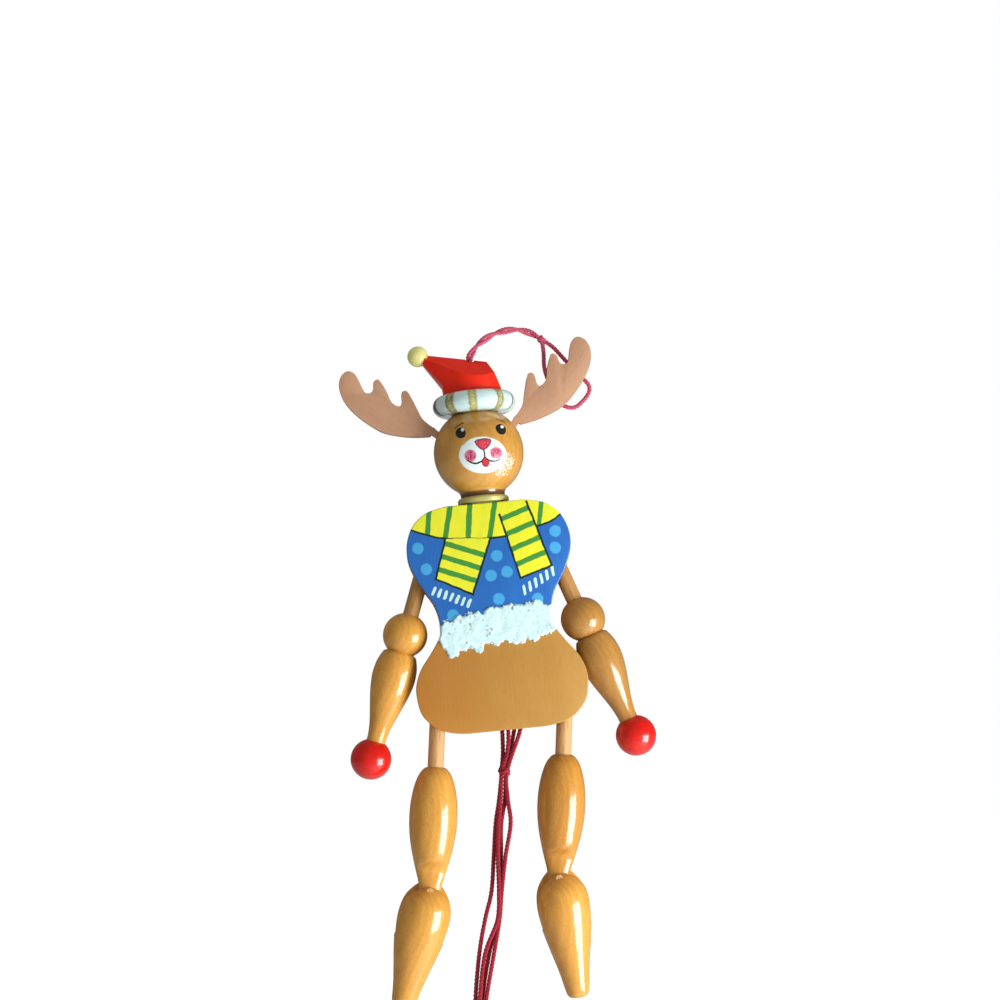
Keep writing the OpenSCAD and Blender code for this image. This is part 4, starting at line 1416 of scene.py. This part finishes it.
@dataclass
class Leg:
    """One leg: its dowel, the thigh with its tongue, and the slotted lower leg on its pin."""

    side: Side
    stand: Stand
    timber: Timber
    shin_lean: float
    knee_reach: float = 56.5
    thigh_from: float = 20.2
    thigh_radius: float = 7.2
    neck_radius: float = 2.85
    neck_ease: float = 0.5
    tongue: float = 4.0
    flat_up: float = 4.9
    tongue_down: float = 2.8
    shin_length: float = 39.5
    shin_radius: float = 8.0
    shin_facets: int = 112
    foot_radius: float = 3.5
    knee_drop: float = 3.5
    slot_depth: float = 18.0
    slot_room: float = 0.2
    saw_over: float = 4.0
    saw_width: float = 24.0
    shoulder: float = 4.6
    cheek_drop: float = 2.0
    cheek_shift: float = 0.9
    cheek_reach: float = 15.0
    thigh_shares: ClassVar[tuple[Pair, ...]] = (
        (0, 0.36), (0.015, 0.5), (0.07, 0.71), (0.16, 0.87), (0.27, 0.97), (0.38, 1), (0.5, 0.965),
        (0.62, 0.86), (0.74, 0.7), (0.85, 0.53), (0.93, 0.44))
    shin_shares: ClassVar[tuple[Pair, ...]] = (
        (0, 0), (0.012, 0.2), (0.04, 0.44), (0.08, 0.64), (0.14, 0.84), (0.2, 0.95), (0.28, 1), (0.36, 0.995),
        (0.46, 0.93), (0.58, 0.81), (0.7, 0.67), (0.82, 0.54))
    foot_shares: ClassVar[tuple[Pair, ...]] = ((0.92, 1.05), (0.97, 0.89), (0.99, 0.64))

    def thigh(self) -> Shape:
        """The thigh, sanded down in front and behind to a tongue, with a soft shoulder above it."""
        length = self.knee_reach - self.thigh_from + self.tongue_down
        points = [(s * self.thigh_radius, -share * length) for share, s in self.thigh_shares]
        line = smooth_line(points + [(self.neck_radius, -length + self.neck_ease),
                                     (self.neck_radius - self.neck_ease, -length)])
        bm = spun([(0.0, 0.0), *line, (0.0, -length)])
        for vert in bm.verts:
            above = max(vert.co.z / MM + length - self.tongue_down - self.flat_up, 0.0)
            reach = (self.tongue / 2 + above * above / self.shoulder) * MM
            vert.co.y *= reach / max(math.hypot(vert.co.x, vert.co.y), reach)
        return bm

    def shin(self) -> Shape:
        """The lower leg, slotted for the tongue, with its front cheek filed lower than the back one."""
        points = [(s * self.shin_radius, -share * self.shin_length) for share, s in self.shin_shares]
        points += [(s * self.foot_radius, -share * self.shin_length) for share, s in self.foot_shares]
        line = smooth_line(points + [(0.0, -self.shin_length)])
        bm = slotted(spun([(max(r, 0.0), z) for r, z in line], self.shin_facets),
                     (self.saw_width, self.tongue + 2 * self.slot_room, self.slot_depth + self.saw_over),
                     (0.0, 0.0, -(self.slot_depth - self.saw_over) / 2))
        for vert in bm.verts:
            down = -vert.co.z / MM
            if vert.co.y < 0 and down < self.cheek_reach:
                fade = (1 - down / self.cheek_reach) ** 2
                vert.co.z -= self.cheek_drop * fade * MM
                vert.co.x += self.cheek_shift * fade * MM
        return bm

    def build(self) -> None:
        """Makes and dresses the leg."""
        word, lean, stand = self.side.word, self.stand.lean, self.stand
        knee = stand.along(self.knee_reach)
        thigh = moved(self.thigh(), stand.matrix @ up(-self.thigh_from))
        coat = Lacquered(self.timber).coat_for(f"thigh wood {word}", stand.along(self.thigh_from), lean)
        fitted(f"thigh_turned_{word}", thigh, coat, f"leg_{word}", f"thigh_{word}", crease=50.0)
        shin = moved(self.shin(), Stand(knee, self.shin_lean).matrix @ up(self.knee_drop))
        coat = Lacquered(AMBER).coat_for(f"shin wood {word}", knee, self.shin_lean)
        fitted(f"shin_turned_{word}", shin, coat, f"lower_leg_{word}", f"shin_{word}", crease=50.0)
        dowel = Plain(BARE, "dowel_wood", dull=0.5)
        dress(f"leg_dowel_{word}", dowel.coat_for(f"leg dowel {word}", stand.pin, lean))
        dress(f"knee_pin_{word}", PIN_WOOD.coat_for(f"knee pin wood {word}", knee))


@dataclass
class Cords:
    """The hanging cord and its loop, the limbs' strings, and the pull string with its knots."""

    strand: float = 1.4
    limb_strand: float = 1.288
    twist: float = 2.3
    pair_share: float = 0.52
    pair_reach: float = 0.25
    pair_pitch: float = 14.0
    pair_lay: float = 3.0
    lay: float = 3.2
    pull_lay: float = 3.4
    limb_knot: float = 2.6
    ply_turn: float = 0.7
    lead: float = 0.2
    drawn_up: float = 1.45
    tail_out: float = 2.3
    knot_out: float = 2.35
    hole_out: float = 1.95
    hole_drop: float = 0.05
    lead_drop: float = 0.3
    hanging: tuple[Triple, ...] = (
        (0, 0, -4), (0, 0, 0.4), (1.4, 0, 2.6), (3.2, 0.6, 4.6), (7, 1.6, 7.1), (11, 2.6, 8.4),
        (15.5, 3.4, 8.7), (19.6, 4, 7.4), (22.3, 4.3, 5.6))
    loop_knot: tuple[Triple, float, float] = ((22.9, 4.3, 5), 3.4, 60.0)
    loop: tuple[Triple, ...] = (
        (23, 4.3, 4.2), (23.1, 4.1, 1.2), (22.8, 3.6, -3.5), (23.3, 3, -7), (24.6, 2.8, -11.5),
        (27, 2.6, -15.8), (30.5, 2.5, -17.1), (33.6, 2.5, -15.2), (35.6, 2.5, -12.8), (35.8, 2.5, -10.8),
        (34.6, 2.6, -8.8), (29.8, 3, -2.7), (26.2, 3.8, 2.3), (23.6, 4.3, 4.6))
    limb_routes: dict[str, tuple[Triple, ...]] = field(default_factory=lambda: {
        "arm_string_left": ((-14.84, 0, -48.69), (-12, 2.5, -53.7), (-6.5, 2, -63.5), (-1.1, 1, -72.8)),
        "arm_string_right": ((15.08, 0, -48.6), (12.2, -2.5, -53.6), (6.7, -2, -63.5), (1.3, -1, -72.8)),
        "leg_string_left": ((-18.16, 0, -94.27), (-13.9, -2.5, -97), (-6, -2.4, -101.9), (1.6, -2.3, -106.7)),
        "leg_string_right": ((20.24, 0, -94.27), (16.4, 2.5, -97.4), (10.5, 2, -102.3), (5.5, 1.2, -106.4))})
    ties: dict[str, tuple[Triple, float, float]] = field(default_factory=lambda: {
        "arm_tie": ((0.1, 0, -75), 3.4, 0.0), "leg_tie": ((3.6, 0, -108), 3.4, 0.0),
        "gather_knot": ((-1.7, 0, -125), 4.0, 8.0), "end_knot": ((-17.2, 0, -206), 4.0, 8.0)})
    pull: dict[str, tuple[Triple, ...]] = field(default_factory=lambda: {
        "pull_strand_a": (
            (-0.6, 0.6, -75.5), (-1.1, 0.6, -113), (-2.5, 0.75, -125), (-4, 0.8, -133), (-5.8, 0.8, -140.5),
            (-7.3, 0.6, -150), (-9, 0, -160), (-11.7, 0, -168), (-14.4, 0.4, -178), (-16.9, 0.5, -192),
            (-18, 0.75, -206), (-19.5, 1, -212)),
        "pull_strand_b": (
            (0.8, -0.6, -75.5), (0.7, -0.6, -113), (-2.4, -0.75, -125), (-3.6, -0.8, -133),
            (-5, -0.8, -140.5), (-6.1, -0.7, -150), (-6.8, -1.3, -160), (-7.9, -1.3, -168),
            (-12.7, -0.6, -178), (-15.7, -0.7, -192), (-17.9, -0.75, -206), (-18.4, -1.2, -212)),
        "pull_strand_c": (
            (3, 0.6, -108.5), (2.5, 0.6, -113), (-1, 0.75, -125), (-2.2, 0.8, -133), (-4.1, 0.8, -140.5),
            (-5.1, 0.8, -150), (-6.6, 1.3, -160), (-7.8, 1.3, -168), (-11.4, 0.6, -178), (-14.9, 0.9, -192),
            (-16.5, 0.75, -206), (-16.4, 1, -212)),
        "pull_strand_d": (
            (4.2, -0.6, -108.5), (4.3, -0.6, -113), (-0.9, -0.75, -125), (-1.5, -0.8, -133),
            (-1.3, 0, -140.5), (-3.8, -0.4, -150), (-5.9, 0, -160), (-7.3, 0, -168), (-10, -0.5, -178),
            (-13.8, -0.6, -192), (-16.4, -0.75, -206), (-15.5, -1, -212))})
    own_knots: dict[str, tuple[str, ...]] = field(default_factory=lambda: {
        "pull_strand_a": ("arm_tie", "gather_knot", "end_knot"), "pull_strand_c": ("leg_tie",)})

    def tied(self, name: str, bm: Shape, coat: Coat, body: str, node: str) -> bpy.types.Object:
        """A piece of twine, smooth all over."""
        return fitted(name, bm, coat, body, node, crease=180.0)

    def hanger(self) -> None:
        """The twisted pair over the hat, its knot and the loop."""
        coat = PINK_TWINE.coat_for("hanging twine")
        end = self.tied("loop_knot_tied", knot(*self.loop_knot), coat, "body", "loop_knot")
        shape = CordShape(self.twist * self.pair_share, self.pair_lay)
        line = shape.resampled(self.hanging)
        pair = []
        for phase in (0.0, math.pi):
            half = shape.wound(line, self.twist * self.pair_reach, self.pair_pitch, phase)
            pair += shape.strand(half, phase)
        cord = self.tied("hanging_twist", shape.mesh(pair), coat, "body", "hanging_cord")
        shape = CordShape(self.strand, self.lay)
        line = shape.resampled(self.loop)
        loop = self.tied("loop_twine", shape.mesh(shape.strand(line)), coat, "body", "hanging_loop")

    def limbs(self) -> None:
        """The string at each limb's tail, knotted behind its hole, with its end drawn up to the tie."""
        coat = RED_TWINE.coat_for("limb twine")
        shape = CordShape(self.limb_strand, self.lay)
        for node, route in self.limb_routes.items():
            (x, y, z), first, end = *route[:2], Vector(route[-1])
            away = -1 if first[1] > 0 else 1
            through = [
                (x, away * self.tail_out, z), (x, y, z), (x, -away * self.hole_out, z - self.hole_drop),
                (x + (first[0] - x) * self.lead, first[1], z + (first[2] - z) * self.lead - self.lead_drop)]
            tie = Vector(self.ties[f"{node[:3]}_tie"][0])
            tip = end + (tie - end).normalized() * self.drawn_up
            bm = shape.mesh(shape.strand(shape.resampled([*through, *route[1:], tuple(tip)])))
            add_shape(bm, as_object("knot", knot((x, away * self.knot_out, z), self.limb_knot)))
            self.tied(f"{node}_twine", bm, coat, node.replace("_string_", "_cord_"), node)

    def puller(self) -> None:
        """The four strands of the pull string, their ties and knots."""
        coat = RED_TWINE.coat_for("pull twine")
        knots = {node: self.tied(f"{node}_tied", knot(*tie), coat, "pull_string", node)
                 for node, tie in self.ties.items()}
        shape = CordShape(self.strand, self.pull_lay)
        for i, (node, route) in enumerate(self.pull.items()):
            line = shape.resampled(route)
            twine = shape.mesh(shape.strand(line, i * self.ply_turn))
            piece = self.tied(f"{node}_twine", twine, coat, "pull_string", node)

    def build(self) -> None:
        """Makes and dresses every cord."""
        self.hanger()
        self.limbs()
        self.puller()


@dataclass
class Studio:
    """Camera, floor, backdrop and lights, with the eye in millimetres and floor, aim and lamps in metres."""

    eye: Triple = (-25.0, -560.0, -105.0)
    yaw: float = 2.919
    pitch: float = 4.72
    roll: float = 5.641
    lens: float = 67.03
    sensor: float = 36.0
    shift: float = 0.05
    floor: float = -0.5
    floor_half: float = 4.0
    soft_light: float = 0.31
    room: float = 0.12
    backdrop: Pair = (-0.96, -0.995)
    floor_white: tuple[Colour, Colour] = ((0.86, 0.86, 0.855, 1.0), (0.9, 0.9, 0.895, 1.0))
    floor_glow: Colour = (0.8, 0.8, 0.8, 1.0)
    black: Colour = (0.0, 0.0, 0.0, 1.0)
    aim: Triple = (0.0, 0.0, -0.1)

    def camera(self) -> None:
        """The picture's viewpoint."""
        yaw, pitch, roll = (math.radians(v) for v in (self.yaw, self.pitch, self.roll))
        ahead = Vector((math.sin(yaw) * math.cos(pitch), math.cos(yaw) * math.cos(pitch), math.sin(pitch)))
        right = ahead.cross(Vector((0, 0, 1))).normalized()
        over = right.cross(ahead)
        across = right * math.cos(roll) - over * math.sin(roll)
        above = right * math.sin(roll) + over * math.cos(roll)
        data = bpy.data.cameras.new("camera")
        data.lens, data.sensor_width, data.sensor_fit = self.lens, self.sensor, "AUTO"
        data.shift_y = self.shift
        data.clip_start, data.clip_end = 0.01, 20.0
        made = linked("camera", data)
        turn = Matrix((across, above, -ahead)).transposed().to_4x4()
        made.matrix_world = Matrix.Translation(Vector(self.eye) * MM) @ turn
        bpy.context.scene.camera = made

    def lamp(self, name: str, at: Triple, size: float, power: float, tint: Triple = (1, 1, 1),
             mirrored: bool = False) -> None:
        """A soft square light that faces the piece.

        Args:
            name: Its name.
            at: Its place in metres.
            size: Its width.
            power: Its power in watts.
            tint: Its colour.
            mirrored: Whether it shows as a highlight in the lacquer.
        """
        data = bpy.data.lights.new(name, "AREA")
        data.shape, data.size, data.size_y, data.energy, data.color = "RECTANGLE", size, size, power, tint
        made = linked(name, data)
        made.location = at
        made.visible_glossy = mirrored
        made.rotation_mode = "QUATERNION"
        made.rotation_quaternion = (Vector(self.aim) - Vector(at)).to_track_quat("-Z", "Y")

    def ground(self) -> None:
        """A pale floor that shows white and keeps the shadow."""
        bm = bmesh.new()
        bmesh.ops.create_grid(bm, x_segments=1, y_segments=1, size=self.floor_half)
        made = as_object("floor", moved(bm, Matrix.Translation((0, 0, self.floor))))
        material = bpy.data.materials.new("floor white")
        made.data.materials.append(material)
        graph = Graph(material)
        grain = graph.noise(graph.place(), 0.02, detail=2.0)
        _, seen = graph.seen(self.backdrop)
        graph.feed(Roughness=0.9, Specular_IOR_Level=0.1, Emission_Strength=1.0,
                   Base_Color=graph.mix(grain, *self.floor_white),
                   Emission_Color=graph.mix(seen, self.black, self.floor_glow))

    def sky(self) -> None:
        """Plain soft light from all round, white where the camera or a shine sees the backdrop."""
        world = bpy.data.worlds.new("studio")
        bpy.context.scene.world = world
        graph = Graph(world, "ShaderNodeBackground", "ShaderNodeOutputWorld")
        shine, seen = graph.seen(self.backdrop)
        level: Any = self.soft_light
        for share, full in ((shine, self.room), (seen, 1.0)):
            mixed = graph.node("ShaderNodeMix", {"data_type": "FLOAT"}, {0: share, 2: level, 3: full})
            level = mixed.outputs[0]
        graph.feed(Strength=level, Color=(1, 1, 1, 1))

    def build(self) -> None:
        """Sets the scene."""
        bpy.context.scene.view_settings.view_transform = "Standard"
        self.camera()
        self.ground()
        self.sky()
        self.lamp("window", (0.41, -0.3, -0.3), 0.32, 4.2, (0.97, 0.99, 1.0), mirrored=True)
        self.lamp("ceiling", (0.08, 0.03, 0.42), 0.2, 0.6)
        self.lamp("front", (-0.15, -0.75, 0.02), 0.6, 0.6)


def main() -> None:
    """Builds every sub-assembly in order and reports each piece."""
    logging.basicConfig(level=logging.INFO, format="%(message)s")
    Studio().build()
    Cords().build()
    Body().build()
    Head().build()
    for side, forearm, thigh, arm_lean, leg_lean, shin_lean in (
            (Side.LEFT, AMBER, AMBER, 20.8, 8.0, 19.0),
            (Side.RIGHT, BROWN_AMBER, DEEP_AMBER, -18.8, 8.0, -4.0)):
        shoulder, hip = ((side.value * x, 0.0, z) for x, z in (SHOULDER, HIP))
        Arm(side, Stand(shoulder, arm_lean), forearm).build()
        Leg(side, Stand(hip, leg_lean), thigh, shin_lean).build()


if __name__ == "__main__":
    main()
